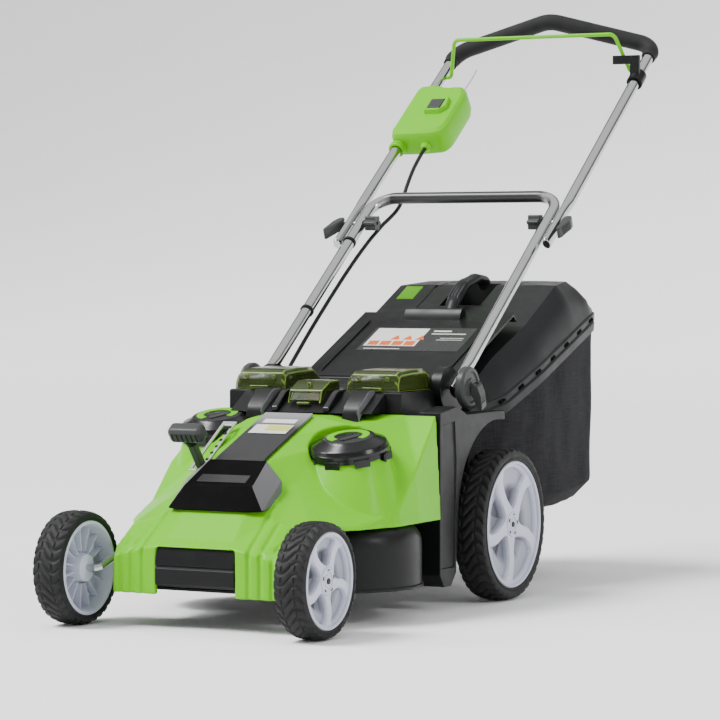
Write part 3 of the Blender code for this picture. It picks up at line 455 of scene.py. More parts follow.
def bag_weave():
    """Coarse polyester cloth: crossing threads with slubs, read from the piece's own map in metres."""
    sheet = Finish("bag_weave", Sheen_Weight=0.02, Sheen_Roughness=0.4, Specular_IOR_Level=0.15)
    flat = sheet.node("ShaderNodeUVMap", {"uv_map": "cloth"}).outputs[0]
    parts = sheet.node("ShaderNodeSeparateXYZ", {}, {0: flat})
    across, up = Value(sheet, parts.outputs[0]), Value(sheet, parts.outputs[1])
    thread = 2 * math.pi / 0.0016
    warp = sheet.math("ABSOLUTE", sheet.math("SINE", across * thread))
    weft = sheet.math("ABSOLUTE", sheet.math("SINE", up * thread))
    slub_map = sheet.scaled(flat, (420.0, 26.0, 1.0))
    slub_across = sheet.scaled(flat, (26.0, 420.0, 1.0))
    slubs = sheet.noise(1.0, 2.0, slub_map) * 0.5 + sheet.noise(1.0, 2.0, slub_across) * 0.5
    height = sheet.math("MAXIMUM", warp, weft) + slubs * 0.6
    colour = sheet.mix(
        sheet.ramp(slubs, 0.0, 1.0, 0.40, 0.62), rgba(colours().cloth, 0.55), rgba(colours().cloth, 2.1)
    )
    sheet.paint(Base_Color=colour, Roughness=sheet.ramp(slubs, 0.72, 0.9))
    return sheet.bump(height, 0.00022, 0.8).material


def floor_finish():
    sheet = Finish("pale_floor")
    cloud = sheet.noise(1.5, 3.0)
    sheet.paint(Base_Color=sheet.mix(cloud, (0.90, 0.90, 0.90, 1), (0.93, 0.93, 0.93, 1)), Roughness=0.9)
    return sheet.material


MADE = {}


def finish(maker):
    """The material of this maker, made once."""
    if maker.__name__ not in MADE:
        MADE[maker.__name__] = maker()
    return MADE[maker.__name__]


# ---- shapes, as bmeshes in the mower's frame ----
def closed_up(bm, merge=1e-6):
    """Merges doubles and turns the faces outwards."""
    bmesh.ops.remove_doubles(bm, verts=bm.verts, dist=merge)
    bmesh.ops.recalc_face_normals(bm, faces=bm.faces)
    if bm.calc_volume(signed=True) < 0:
        bmesh.ops.reverse_faces(bm, faces=bm.faces)
    return bm


def loft(rings, capped=True, round_trip=False):
    """A skin through closed rings that have the same number of points."""
    bm = bmesh.new()
    rows = [[bm.verts.new(point) for point in ring] for ring in rings]
    pairs = list(zip(rows, rows[1:])) + ([(rows[-1], rows[0])] if round_trip else [])
    for near, far in pairs:
        for i, corner in enumerate(near):
            j = (i + 1) % len(near)
            bm.faces.new((corner, near[j], far[j], far[i]))
    if capped and not round_trip:
        bm.faces.new(rows[0][::-1])
        bm.faces.new(rows[-1])
    return closed_up(bm)


def prism(outline, low, high, axis="X"):
    """An outline of the other two coordinates, in order, drawn out along one axis."""
    orders = {"X": lambda a, b, d: (d, a, b), "Y": lambda a, b, d: (a, d, b), "Z": lambda a, b, d: (a, b, d)}
    order = orders[axis]
    return loft([[order(a, b, depth) for a, b in outline] for depth in (low, high)])


def block(low, high):
    (x0, y0, z0), (x1, y1, z1) = low, high
    return prism([(y0, z0), (y1, z0), (y1, z1), (y0, z1)], x0, x1)


AXIS_TURN = {
    "X": Matrix.Rotation(math.pi / 2, 4, "Y"), "Y": Matrix.Rotation(-math.pi / 2, 4, "X"), "Z": Matrix()
}


def lathe(profile, centre, axis="X", steps=96, side=1):
    """A solid turned from a closed profile of (radius, along) points."""
    rings = []
    for k in range(steps):
        turn = 2 * math.pi * k / steps
        rings.append([(r * math.cos(turn), r * math.sin(turn), a * side) for r, a in profile])
    bm = loft(rings, round_trip=True)
    bm.transform(Matrix.Translation(centre) @ AXIS_TURN[axis])
    return bm


def rod(centre, radius, length, axis="X", steps=32, tip=None):
    """A cylinder or cone about centre."""
    tip = radius if tip is None else tip
    rings = [
        [
            (r * math.cos(2 * math.pi * k / steps), r * math.sin(2 * math.pi * k / steps), a)
            for k in range(steps)
        ]
        for r, a in ((radius, -length / 2), (tip, length / 2))
    ]
    bm = loft(rings)
    bm.transform(Matrix.Translation(centre) @ AXIS_TURN[axis])
    return bm


def pipe(points, radius, sides=20, squeeze=None):
    """A round bar along a chain of points, without twist. squeeze(k) gives (width, height) factors."""
    points = [Vector(p) for p in points]
    rings = []
    side = None
    for k, point in enumerate(points):
        ahead = (points[min(k + 1, len(points) - 1)] - points[max(k - 1, 0)]).normalized()
        if side is None:
            side = ahead.orthogonal().normalized() if abs(ahead.x) > 0.5 else Vector((1, 0, 0))
        side = (side - ahead * side.dot(ahead)).normalized()
        up = ahead.cross(side)
        wide, tall = squeeze(k) if squeeze else (1, 1)
        size = radius[k] if isinstance(radius, (list, tuple)) else radius
        turns = [2 * math.pi * i / sides for i in range(sides)]
        rings.append(
            [point + side * size * wide * math.cos(t) + up * size * tall * math.sin(t) for t in turns]
        )
    return loft(rings)


def bent(corners, radius, steps=10):
    """A chain of points through corners, each inner one rounded to an arc."""
    corners = [Vector(c) for c in corners]
    radii = radius if isinstance(radius, (list, tuple)) else [radius] * (len(corners) - 2)
    points = [corners[0]]
    for before, corner, after, bend in zip(corners, corners[1:], corners[2:], radii):
        back, on = (before - corner).normalized(), (after - corner).normalized()
        half = back.angle(on) / 2
        start, end = corner + back * bend / math.tan(half), corner + on * bend / math.tan(half)
        centre = corner + (back + on).normalized() * bend / math.sin(half)
        for k in range(steps + 1):
            arm = (start - centre).normalized().slerp((end - centre).normalized(), k / steps)
            points.append(centre + arm * bend)
    return points + [corners[-1]]


def arc(centre, radius, first, last, steps):
    """Points on an arc, in degrees."""
    turns = [math.radians(first + (last - first) * k / steps) for k in range(steps + 1)]
    return [(centre[0] + radius * math.cos(t), centre[1] + radius * math.sin(t)) for t in turns]


def smooth_route(knots, per_span=12):
    """Points on a smooth curve through the knots."""
    knots = [Vector(k) for k in knots]
    padded = [2 * knots[0] - knots[1], *knots, 2 * knots[-1] - knots[-2]]
    points = [knots[0]]
    for a, b, c, d in zip(padded, padded[1:], padded[2:], padded[3:]):
        for k in range(1, per_span + 1):
            t = k / per_span
            points.append(
                0.5 * (
                    2 * b
                    + (c - a) * t
                    + (2 * a - 5 * b + 4 * c - d) * t * t
                    + (3 * b - a - 3 * c + d) * t**3
                )
            )
    return points


def along_handle(reach, rise=0.0):
    """(y, z) of a point this far up the handle from its pivot, and this far square to it."""
    c, s = math.cos(HANDLE_ANGLE), math.sin(HANDLE_ANGLE)
    return PIVOT_Y + reach * c - rise * s, PIVOT_Z + reach * s + rise * c


def leg_point(x, reach, rise=0.0):
    return Vector((x, *along_handle(reach, rise)))


def step_between(low, high, value):
    """0 below low, 1 above high, smooth between."""
    t = min(1.0, max(0.0, (value - low) / (high - low)))
    return t * t * (3 - 2 * t)


def as_object(bm, name="shape"):
    mesh = bpy.data.meshes.new(name)
    bm.to_mesh(mesh)
    bm.free()
    made = bpy.data.objects.new(name, mesh)
    bpy.context.scene.collection.objects.link(made)
    return made


def settled(made):
    """The object's evaluated mesh as a bmesh; the object itself is removed."""
    graph = bpy.context.evaluated_depsgraph_get()
    bm = bmesh.new()
    mesh = bpy.data.meshes.new_from_object(made.evaluated_get(graph))
    bm.from_mesh(mesh)
    bpy.data.meshes.remove(mesh)
    old = made.data
    bpy.data.objects.remove(made)
    bpy.data.meshes.remove(old)
    return bm


def joined(shapes):
    whole = bmesh.new()
    for shape in shapes:
        mesh = bpy.data.meshes.new("step")
        shape.to_mesh(mesh)
        shape.free()
        whole.from_mesh(mesh)
        bpy.data.meshes.remove(mesh)
    return whole


def worked(shape, operation, tools):
    """Cuts the tools out of a shape, or unites them with it."""
    target = as_object(shape, "blank")
    helpers = [as_object(tool, "tool") for tool in tools]
    for helper in helpers:
        step = target.modifiers.new("step", "BOOLEAN")
        step.operation, step.solver, step.object = operation, "EXACT", helper
    done = settled(target)
    for helper in helpers:
        mesh = helper.data
        bpy.data.objects.remove(helper)
        bpy.data.meshes.remove(mesh)
    return done


def carved(shape, *tools):
    return worked(shape, "DIFFERENCE", tools)


def united(shape, *tools):
    return worked(shape, "UNION", tools)


def make_piece(
    name, shapes, body, material, replaces=(), edge=None, angle=32, segments=2, blend=None,
    rim=None,
):
    """The finished piece: shapes joined, edges rounded, in the frame's place and riding on its body."""
    shapes = shapes if isinstance(shapes, (list, tuple)) else [shapes]
    whole = joined(shapes)
    whole.transform(Matrix.Translation((0, MID_Y, 0)))
    made = as_object(whole, name)
    made.data.materials.append(finish(material))
    made.data.shade_smooth()
    made.data.set_sharp_from_angle(angle=math.radians(angle))
    edge = sizes().edge if edge is None else edge
    if edge:
        bevel = made.modifiers.new("rounded edges", "BEVEL")
        bevel.width, bevel.segments, bevel.limit_method = edge, segments, "ANGLE"
        bevel.angle_limit = math.radians(28)
        bevel.harden_normals = True
        bevel.use_clamp_overlap = True
        bevel.miter_outer = "MITER_ARC"
        # the lids' bevelled edges take this second material as a painted highlight
        if rim:
            made.data.materials.append(finish(rim))
            bevel.material = 1
    if blend:
        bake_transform(made)
    else:
        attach(made, body)
    if replaces:
        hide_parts(*replaces)
    return made


def in_frame(point):
    return (point[0], point[1] + MID_Y, point[2])


def repaint(nodes, material):
    """Gives CAD nodes that keep their shape their finish."""
    for node in nodes:
        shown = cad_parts[node]
        shown.data.materials.clear()
        shown.data.materials.append(finish(material))


# ---- copies set along a line, made by a node tree ----
def copy_tree(material):
    """A tree that sets copies of an object along a line: inputs Copy, Count and Size."""
    tree = bpy.data.node_groups.new("copies_along_line", "GeometryNodeTree")
    face = tree.interface
    face.new_socket("Geometry", in_out="INPUT", socket_type="NodeSocketGeometry")
    for name, kind in (("Copy", "NodeSocketObject"), ("Count", "NodeSocketInt"), ("Size", "NodeSocketFloat")):
        face.new_socket(name, in_out="INPUT", socket_type=kind)
    face.new_socket("Geometry", in_out="OUTPUT", socket_type="NodeSocketGeometry")
    start, end = tree.nodes.new("NodeGroupInput"), tree.nodes.new("NodeGroupOutput")
    line = tree.nodes.new("GeometryNodeMeshToCurve")
    spaced = tree.nodes.new("GeometryNodeResampleCurve")
    source = tree.nodes.new("GeometryNodeObjectInfo")
    copies = tree.nodes.new("GeometryNodeInstanceOnPoints")
    tangent = tree.nodes.new("GeometryNodeInputTangent")
    turn = tree.nodes.new("FunctionNodeAlignEulerToVector")
    turn.axis = "X"
    turn.pivot_axis = "AUTO"
    real = tree.nodes.new("GeometryNodeRealizeInstances")
    painted = tree.nodes.new("GeometryNodeSetMaterial")
    painted.inputs["Material"].default_value = material
    link = tree.links.new
    link(start.outputs["Geometry"], line.inputs["Mesh"])
    link(line.outputs["Curve"], spaced.inputs["Curve"])
    link(start.outputs["Count"], spaced.inputs["Count"])
    link(start.outputs["Copy"], source.inputs["Object"])
    link(spaced.outputs["Curve"], copies.inputs["Points"])
    link(source.outputs["Geometry"], copies.inputs["Instance"])
    link(tangent.outputs["Tangent"], turn.inputs["Vector"])
    link(turn.outputs["Rotation"], copies.inputs["Rotation"])
    link(start.outputs["Size"], copies.inputs["Scale"])
    link(copies.outputs["Instances"], real.inputs["Geometry"])
    link(real.outputs["Geometry"], painted.inputs["Geometry"])
    link(painted.outputs["Geometry"], end.inputs["Geometry"])
    return tree


def copies_along(path, shape, count, material, size=1.0):
    """Copies of a small shape spaced evenly along a path, as a bmesh."""
    line = bmesh.new()
    chain = [line.verts.new(p) for p in path]
    for a, b in zip(chain, chain[1:]):
        line.edges.new((a, b))
    holder = as_object(line, "line")
    unit = as_object(shape, "unit")
    tree = copy_tree(finish(material))
    step = holder.modifiers.new("copies", "NODES")
    step.node_group = tree
    wanted = {"Copy": unit, "Count": count, "Size": size}
    for item in tree.interface.items_tree:
        if item.in_out == "INPUT" and item.name in wanted:
            step[item.identifier] = wanted[item.name]
    done = settled(holder)
    mesh = unit.data
    bpy.data.objects.remove(unit)
    bpy.data.meshes.remove(mesh)
    bpy.data.node_groups.remove(tree)
    return done


# ---- wheels ----
WHEELS = {
    "front": {"radius": 0.089, "width": 0.053, "seat": 0.0735, "outer": 0.2386, "turn": -90},
    "rear": {"radius": 0.127, "width": 0.0575, "seat": 0.1055, "outer": 0.2585, "turn": -99},
}


def ringed(profile_at, steps, centre, side):
    """A closed skin of profiles set round the X axis. profile_at(turn) gives (radius, along) points."""
    rings = []
    for k in range(steps):
        turn = 2 * math.pi * k / steps
        rings.append([
            (centre[0] + side * a, centre[1] + r * math.cos(turn), centre[2] + r * math.sin(turn))
            for r, a in profile_at(turn)
        ])
    return loft(rings, round_trip=True)


def tyre_shape(centre, side, radius, width, seat, lugs):
    """A tyre whose tread is cut by wavy cross grooves and two shallow rings."""
    half, depth = width / 2, sizes().tread_depth
    count = 26

    def profile(turn):
        points = [
            (seat + 0.0002, half - 0.004), (seat + 0.0010, half - 0.0015), (seat + 0.0035, half - 0.0008),
            (seat + 0.006, half - 0.0022), (radius - 0.011, half - 0.0004),
            (radius - 0.0075, half - 0.0014),
        ]
        for k in range(count + 1):
            a = (half - 0.0022) * (1 - 2 * k / count)
            crown = radius - 0.0052 * abs(a / half) ** 3
            phase = lugs * turn / (2 * math.pi) + 0.55 * math.sin(2.2 * math.pi * a / width)
            across = abs(phase - math.floor(phase) - 0.5) * 2
            cut = 1 - step_between(0.20, 0.42, across)
            ring = max(0.0, 1 - abs(abs(a) - half * 0.42) / 0.0011)
            cut = max(cut, 0.75 * ring) * (1 - 0.35 * step_between(0.80, 1.0, abs(a / half)))
            points.append((crown - depth * cut, a))
        lower = [(r, -a) for r, a in reversed(points[:6])]
        return points + lower

    return ringed(profile, lugs * 10, centre, side)


def scoop_at(turn, r, edge, turn_by):
    """How far the rim is scooped here, 0 to 1, and how near the deep end of the scoop, 0 to 1."""
    hub, outer_edge, spokes = 0.021, edge - 0.0055, sizes().spokes
    share = (r - hub) / (outer_edge - hub)
    curl = math.radians(9) * math.sin(math.pi * share)
    gap = (turn - math.radians(turn_by) - curl) % (2 * math.pi / spokes)
    off = min(gap, 2 * math.pi / spokes - gap) * r
    wide = edge * (0.080 + 0.10 * (2 * share - 1.05) ** 4 + 0.02 * share)
    wall = step_between(wide, wide + 0.0030, off)
    ends = step_between(0.035, 0.12, share) * (1 - step_between(0.90, 0.965, share))
    deep = (1 - step_between(0.40, 0.66, share)) * (1 if gap < math.pi / spokes else 0.6)
    crown = 0.0010 * (1 - min(1.0, (off / wide) ** 2))
    return wall * ends, deep, crown


def rim_shape(centre, side, half, edge, turn_by):
    """A rim with curved spokes that widen at both ends, between scooped pockets."""
    hub, count = 0.021, 22

    def profile(turn):
        outer_edge = edge - 0.0055
        points = [
            (0.0, half - 0.0046), (0.009, half - 0.0046), (0.0102, half - 0.0062), (0.0128, half - 0.0062),
            (0.0140, half - 0.0040), (hub - 0.001, half - 0.0044), (hub, half - 0.0064),
        ]
        for k in range(count + 1):
            r = hub + 0.0015 + (outer_edge - hub - 0.0015) * k / count
            scoop, deep, crown = scoop_at(turn, r, edge, turn_by)
            points.append((r, half - 0.0062 + crown - (0.0075 + 0.0080 * deep) * scoop))
        points += [
            (outer_edge + 0.0004, half - 0.0022), (outer_edge + 0.0018, half - 0.0008),
            (edge - 0.0015, half - 0.0008), (edge, half - 0.0022), (edge, 0.0022 - half),
            (edge - 0.0012, 0.0012 - half), (edge - 0.0045, 0.0012 - half), (edge - 0.0058, 0.0026 - half),
            (edge - 0.0075, 0.010 - half), (edge - 0.010, half - 0.0245), (hub + 0.008, half - 0.0245),
            (hub + 0.0035, half - 0.0235), (hub, 0.007 - half), (hub - 0.002, 0.0058 - half),
            (0.0, 0.0058 - half),
        ]
        return points

    return ringed(profile, 240, centre, side)


def build_wheel(end, tag):
    """One wheel: the treaded tyre, the ribbed rim with its hub slots and the axle nut."""
    side, size = SIDES[tag], WHEELS[end]
    half = size["width"] / 2
    y = HALF_WHEELBASE * (-1 if end == "front" else 1)
    centre = (side * (size["outer"] - half), y, size["radius"])
    body = f"{end}_wheel_{tag}"
    lugs = sizes().front_lugs if end == "front" else sizes().rear_lugs
    tyre = tyre_shape(centre, side, size["radius"], size["width"], size["seat"], lugs)
    make_piece(
        f"{end}_tyre_{tag}", tyre, body, tyre_rubber, [f"tyre_{end}_{tag}"], edge=0, angle=40
    )
    rim = rim_shape(centre, side, half, size["seat"], size["turn"])
    ribs = []
    for k in range(15):
        turn = 2 * math.pi * k / 15
        low, high = 0.026, size["seat"] - 0.0070
        rib = block((-0.0009, low, -0.0009), (0.0150, high, 0.0009))
        rib.transform(Matrix.Rotation(turn, 4, "X"))
        rib.transform(Matrix.Scale(-side, 4, (1, 0, 0)))
        x = centre[0] + side * (half - 0.0228)
        rib.transform(Matrix.Translation((x, centre[1], centre[2])))
        ribs.append(closed_up(rib))
    maker = front_rim_moulding if end == "front" else rear_rim_moulding
    make_piece(
        f"{end}_rim_{tag}", [rim, *ribs], body, maker, [f"rim_{end}_{tag}"], edge=0,
        angle=38,
    )
    # painted shade: black patches on the hub stand in for the shade inside its slots
    slots = []
    for k in range(5):
        turn = 2 * math.pi * (k + 0.5) / 5 + math.radians(size["turn"])
        slot = block((-0.0008, 0.0158, -0.0030), (0.0008, 0.0176, 0.0030))
        slot.transform(Matrix.Rotation(turn, 4, "X"))
        slot.transform(Matrix.Translation((centre[0] + side * (half - 0.0040), centre[1], centre[2])))
        slots.append(slot)
    nut = rod((centre[0] + side * (half - 0.0050), centre[1], centre[2]), 0.0046, 0.004, "X", 24)
    make_piece(
        f"{end}_hub_slots_{tag}", [*slots, nut], body, black_moulding, edge=0.0002
    )


# ---- deck ----
def deck_outline(inset, z, arcs=26):
    """The deck's plan, a lobe round each blade, drawn in from the outside by inset."""
    r = LOBE_RADIUS - inset
    front, rear = -0.236 + inset, 0.215 - inset
    right = arc((SPINDLE_X, SPINDLE_Y[1]), r, -75, 60, arcs)
    left = arc((-SPINDLE_X, SPINDLE_Y[-1]), r, 120, 255, arcs)
    half_rear = 0.185 - inset
    points = [(-0.105 + inset, front), (0.105 - inset, front), (0.125 - inset, front + 0.018), *right,
              (half_rear, 0.100), (half_rear, rear), (-half_rear, rear), (-half_rear, 0.165), *left,
              (-0.125 + inset, front + 0.018)]
    return [(x, y, z) for x, y in points]


CHUTE = [(0.140, 0.120), (0.140, 0.180), (0.255, 0.300), (0.335, 0.305), (0.335, 0.172), (0.232, 0.1525),
         (0.205, 0.1525), (0.205, 0.120)]
CHUTE_INSIDE = [(0.144, 0.090), (0.144, 0.1785), (0.2565, 0.296), (0.360, 0.301), (0.360, 0.1765),
                (0.2310, 0.1565), (0.201, 0.1565), (0.201, 0.090)]


def build_deck_pieces():
    """The skirted deck with its chute, a flange round its foot and the lugs for the axles."""
    steps = [
        (-0.0030, 0.0530), (-0.0030, 0.0565), (-0.0005, 0.0590), (0, 0.0640), (0, 0.118), (0.0008, 0.127),
        (0.0035, 0.136), (0.0085, 0.1435), (0.018, 0.1495),
    ]
    deck = loft([deck_outline(inset, z) for inset, z in steps])
    lugs = []
    for side in (-1, 1):
        x_low, x_high = sorted((side * 0.092, side * 0.110))
        lugs.append(block((x_low, -0.262, 0.092), (x_high, -0.230, 0.121)))
        x_low, x_high = sorted((side * 0.152, side * 0.172))
        lugs.append(block((x_low, 0.209, 0.128), (x_high, 0.264, 0.162)))
    deck = united(deck, prism(CHUTE, -0.145, 0.145), *lugs)
    inside = loft([deck_outline(0.004, 0.040), deck_outline(0.004, 0.124), deck_outline(0.022, 0.1455)])
    holes = [rod((side * SPINDLE_X, y, 0.150), 0.0118, 0.04, "Z", 48) for side, y in SPINDLE_Y.items()]
    deck = carved(deck, inside, prism(CHUTE_INSIDE, -0.141, 0.141), *holes)
    make_piece("deck_moulding", deck, "chassis", black_moulding, ["deck_shell"], angle=30)


# ---- cover ----
COVER_FRONT = [
    (-0.303, (0.060, 0.128), (0.098, 0.122), (0.146, 0.108), (0.147, 0.053)),
    (-0.288, (0.060, 0.138), (0.100, 0.134), (0.150, 0.124), (0.152, 0.053)),
    (-0.238, (0.055, 0.185), (0.100, 0.168), (0.155, 0.150), (0.158, 0.053)),
    (-0.202, (0.052, 0.232), (0.088, 0.195), (0.158, 0.158), (0.160, 0.053)),
]
COVER_MAIN = [
    (-0.240, (0.055, 0.183), (0.096, 0.166), (0.150, 0.153), (0.152, 0.151)),
    (-0.218, (0.052, 0.226), (0.086, 0.185), (0.160, 0.155), (0.163, 0.151)),
    (-0.150, (0.050, 0.2565), (0.088, 0.222), (0.200, 0.158), (0.206, 0.151)),
    (-0.060, (0.047, 0.2925), (0.098, 0.272), (0.226, 0.175), (0.232, 0.151)),
    (0.000, (0.045, 0.3165), (0.115, 0.303), (0.226, 0.235), (0.233, 0.151)),
    (0.082, (0.080, 0.3185), (0.166, 0.3185), (0.222, 0.318), (0.231, 0.151)),
]


def cover_skin(stations, inset=0.0, drop=0.0, rear=0.0):
    outlines = []
    for k, (y, panel, slope, edge, foot) in enumerate(stations):
        y += inset if k == 0 else rear if k == len(stations) - 1 else 0
        half = [(x - inset, z - inset) for x, z in (panel, slope, edge)] + [(foot[0] - inset, foot[1] - drop)]
        other = list(half)
        if y > 0.07:
            other[2] = (half[2][0] - 0.004, half[2][1] - 0.024)
        outlines.append([(x, y, z) for x, z in half] + [(-x, y, z) for x, z in other[::-1]])
    skin = loft(outlines)
    bmesh.ops.triangulate(skin, faces=skin.faces, quad_method="SHORT_EDGE")
    return skin


def cap_tilt(side):
    """Leans a motor cap forward about its own centre."""
    centre = Matrix.Translation(CAP_CENTRE[side])
    return centre @ Matrix.Rotation(CAP_LEAN, 4, "X") @ centre.inverted()


def tower(side, inset, drop):
    x, y, top = CAP_CENTRE[side]
    base, tip = COVER_HALF - abs(x) - inset, CAP_RADIUS - 0.004 - inset
    turns = [2 * math.pi * k / 96 for k in range(96)]
    foot = [(x + base * math.cos(t), y + base * math.sin(t), CAP_FOOT - drop) for t in turns]
    rim = [
        cap_tilt(side) @ Vector((x + tip * math.cos(t), y + tip * math.sin(t), top - 0.0028 - inset))
        for t in turns
    ]
    return loft([foot, rim])


def cap_well(side, inset):
    x, y, z = CAP_CENTRE[side]
    low, high = z - 0.0045 - inset, 0.400
    well = rod((x, y, (low + high) / 2), CAP_RADIUS + 0.0015 + inset, high - low, "Z", 96)
    well.transform(cap_tilt(side))
    return well


def build_cover():
    """The green cover: facets, cap towers and grooves, remeshed into one skin with soft creases."""
    cover = carved(cover_skin(COVER_MAIN), cap_well(1, 0), cap_well(-1, 0))
    cover = united(cover, cover_skin(COVER_FRONT), tower(1, 0, 0), tower(-1, 0, 0))
    inside = carved(cover_skin(COVER_MAIN, 0.010, 0.02, -0.008), cap_well(1, 0.006), cap_well(-1, 0.006))
    cutters = [
        inside, cover_skin(COVER_FRONT, 0.0085, 0.02, 0.012), tower(1, 0.008, 0.02), tower(-1, 0.008, 0.02),
        block((-0.0705, -0.32, 0.04), (0.0705, -0.280, 0.1265)),
        block((LEVER_X - 0.008, -0.158, 0.18), (LEVER_X + 0.008, -0.045, 0.34)),
    ]
    for side in (-1, 1):
        for k in range(3):
            groove = 0.0940 + 0.0205 * k
            path = [
                (side * groove, -0.3040, 0.050), (side * groove, -0.3040, 0.1120),
                (side * groove, -0.2990, 0.1270), (side * (groove - 0.001), -0.2860, 0.1370 - 0.004 * k),
                (side * (groove - 0.003), -0.2380, 0.1710 - 0.005 * k),
                (side * (groove - 0.007), -0.2080, 0.1910 - 0.0065 * k),
            ]
            cutters.append(pipe(path, [0.0042, 0.0042, 0.0044, 0.0044, 0.0040, 0.0010], 16))
        cutters.append(
            pipe(
                [
                    (side * 0.2285, 0.010, 0.325), (side * 0.2325, -0.040, 0.205),
                    (side * 0.2330, -0.050, 0.150),
                ],
                0.0013, 8,
            )
        )
    cover = carved(cover, *cutters)
    blank = as_object(cover, "cover_blank")
    remesh = blank.modifiers.new("melt", "REMESH")
    remesh.mode, remesh.voxel_size = "VOXEL", sizes().cover_cell
    soft = blank.modifiers.new("soften", "SMOOTH")
    soft.factor, soft.iterations = 0.5, 4
    lighter = blank.modifiers.new("lighter", "DECIMATE")
    lighter.ratio = 0.42
    make_piece(
        "cover_moulding", settled(blank), "chassis", green_moulding, ["top_cover"], edge=0,
        angle=75,
    )


def build_nose():
    """The bumper, the black nose under the panel and the two-tone panel with its plain plates."""
    bumper = [(-0.300, 0.066), (-0.3045, 0.071), (-0.3045, 0.0935), (-0.3020, 0.0955), (-0.3020, 0.0975),
              (-0.3045, 0.0995), (-0.304, 0.107), (-0.298, 0.126), (-0.264, 0.126), (-0.264, 0.066)]
    make_piece(
        "bumper", prism(bumper, -0.070, 0.070), "chassis", black_moulding, ["front_bumper"],
        edge=0.0022,
    )
    under = [(-0.2330, 0.190), (-0.2185, 0.2260), (-0.150, 0.2568), (-0.060, 0.2928), (-0.002, 0.3166)]
    over = [(y - 0.0022, z + 0.0050) for y, z in under]
    corners = [
        (0.060, -0.2300, 0.2195), (0.0620, -0.2500, 0.1800), (0.085, -0.2420, 0.1815),
        (0.051, -0.168, 0.2555), (0.085, -0.180, 0.2260), (0.085, -0.178, 0.1900), (0.051, -0.168, 0.2300),
    ]
    nose = bmesh.new()
    for x, y, z in corners:
        nose.verts.new((x, y, z))
        nose.verts.new((-x, y, z))
    found = bmesh.ops.convex_hull(nose, input=nose.verts)
    loose = [
        part
        for part in {*found["geom_interior"], *found["geom_unused"]}
        if isinstance(part, bmesh.types.BMVert)
    ]
    bmesh.ops.delete(nose, geom=loose, context="VERTS")
    bmesh.ops.dissolve_limit(nose, angle_limit=0.02, verts=nose.verts, edges=nose.edges)
    closed_up(nose)
    # painted light: the facets facing either side are painted grey as lit faces
    for face in nose.faces:
        face.material_index = 1 if abs(face.normal.x) > 0.45 else 0
    made = make_piece(
        "nose_block", nose, "chassis", hollow_black, edge=0.0022, segments=3
    )
    made.data.materials.append(finish(lit_facet_grey))
    top = [(y - 0.0006, z + 0.0009) for y, z in under[1:]] + over[:0:-1]
    top[0], top[-1] = (-0.2180, 0.2200), (-0.2240, 0.2240)
    make_piece(
        "middle_panel", prism(top, -0.044, 0.044), "chassis", panel_paint, ["nose_panel"],
        edge=0.0012,
    )
    plate = block((-0.030, -0.040, 0), (0.030, -0.026, 0.0006))
    plate.transform(
        Matrix.Translation((0, -0.0035, 0.3214)) @ Matrix.Rotation(math.atan2(0.0238, 0.058), 4, "X")
    )
    make_piece("panel_label", plate, "chassis", plate_white, edge=0.0002)
    for low_x, high_x, low, high, lift, maker, name in (
        (-0.034, 0.034, 0.030, 0.062, 0.0006, plate_white, "panel_plate"),
        (-0.010, 0.032, 0.033, 0.052, 0.0010, plate_yellow, "panel_plate_band"),
    ):
        plate = block((low_x, -high, 0), (high_x, -low, lift))
        plate.transform(
            Matrix.Translation((0, -0.0215, 0.3148)) @ Matrix.Rotation(math.atan2(0.0240, 0.060), 4, "X")
        )
        make_piece(name, plate, "chassis", maker, edge=0)


def build_caps():
    """A glossy domed cap with slotted tabs round it over each motor."""
    for tag, side in SIDES.items():
        centre = CAP_CENTRE[side]
        r = CAP_RADIUS
        profile = [
            (0, 0.0272), (r * 0.60, 0.0272), (r * 0.66, 0.0262), (r * 0.70, 0.0232), (r * 0.93, 0.0170),
            (r * 0.965, 0.0145), (r * 0.985, 0.0100), (r + 0.0006, 0.0080), (r + 0.0006, 0.0035),
            (r, 0.0028), (r, -0.004), (r - 0.003, -0.004), (r - 0.003, 0.001), (0, 0.001),
        ]
        cap = lathe(profile, centre, "Z", 128)
        cap.transform(cap_tilt(side))
        ring = [
            (
                centre[0] + (r - 0.0002) * math.cos(t), centre[1] + (r - 0.0002) * math.sin(t),
                centre[2] - 0.0060,
            )
            for t in (2 * math.pi * k / 72 for k in range(73))
        ]
        tabs = copies_along(
            ring, block((-0.0125, -0.0018, -0.0045), (0.0125, 0.0018, 0.0075)), 9, black_gloss
        )
        tabs.transform(cap_tilt(side))
        make_piece(f"motor_cap_moulding_{tag}", [cap, tabs], "chassis", black_gloss, [f"motor_cap_{tag}"],
                   edge=0.0007)
        outside = arc((0, 0), r * 0.545, -20, 250, 40)
        inside = arc((0, 0), r * 0.36, 250, -20, 40)
        crescent = prism([*outside, *inside], 0.0270, 0.0279, "Z")
        crescent.transform(cap_tilt(side) @ Matrix.Translation(centre))
        make_piece(
            f"cap_crescent_{tag}", crescent, "chassis", green_moulding, edge=0.0002
        )
        badge = prism(
            rounded([(-0.006, -0.020), (0.006, -0.020), (0.006, 0.020), (-0.006, 0.020)], 0.005), 0.0270,
            0.0288, "Z",
        )
        badge.transform(
            cap_tilt(side)
            @ Matrix.Translation(centre)
            @ Matrix.Translation((0.010, -0.010, 0))
            @ Matrix.Rotation(-0.5, 4, "Z")
        )
        make_piece(f"cap_badge_{tag}", badge, "chassis", plate_grey, edge=0.0004)
        mark = block((-0.0012, -r * 0.74, 0), (0.0012, -r * 0.60, 0.0012))
        mark.transform(cap_tilt(side) @ Matrix.Translation((centre[0], centre[1], centre[2] + 0.0196)))
        make_piece(f"cap_mark_{tag}", mark, "chassis", plate_grey, edge=0.0003)


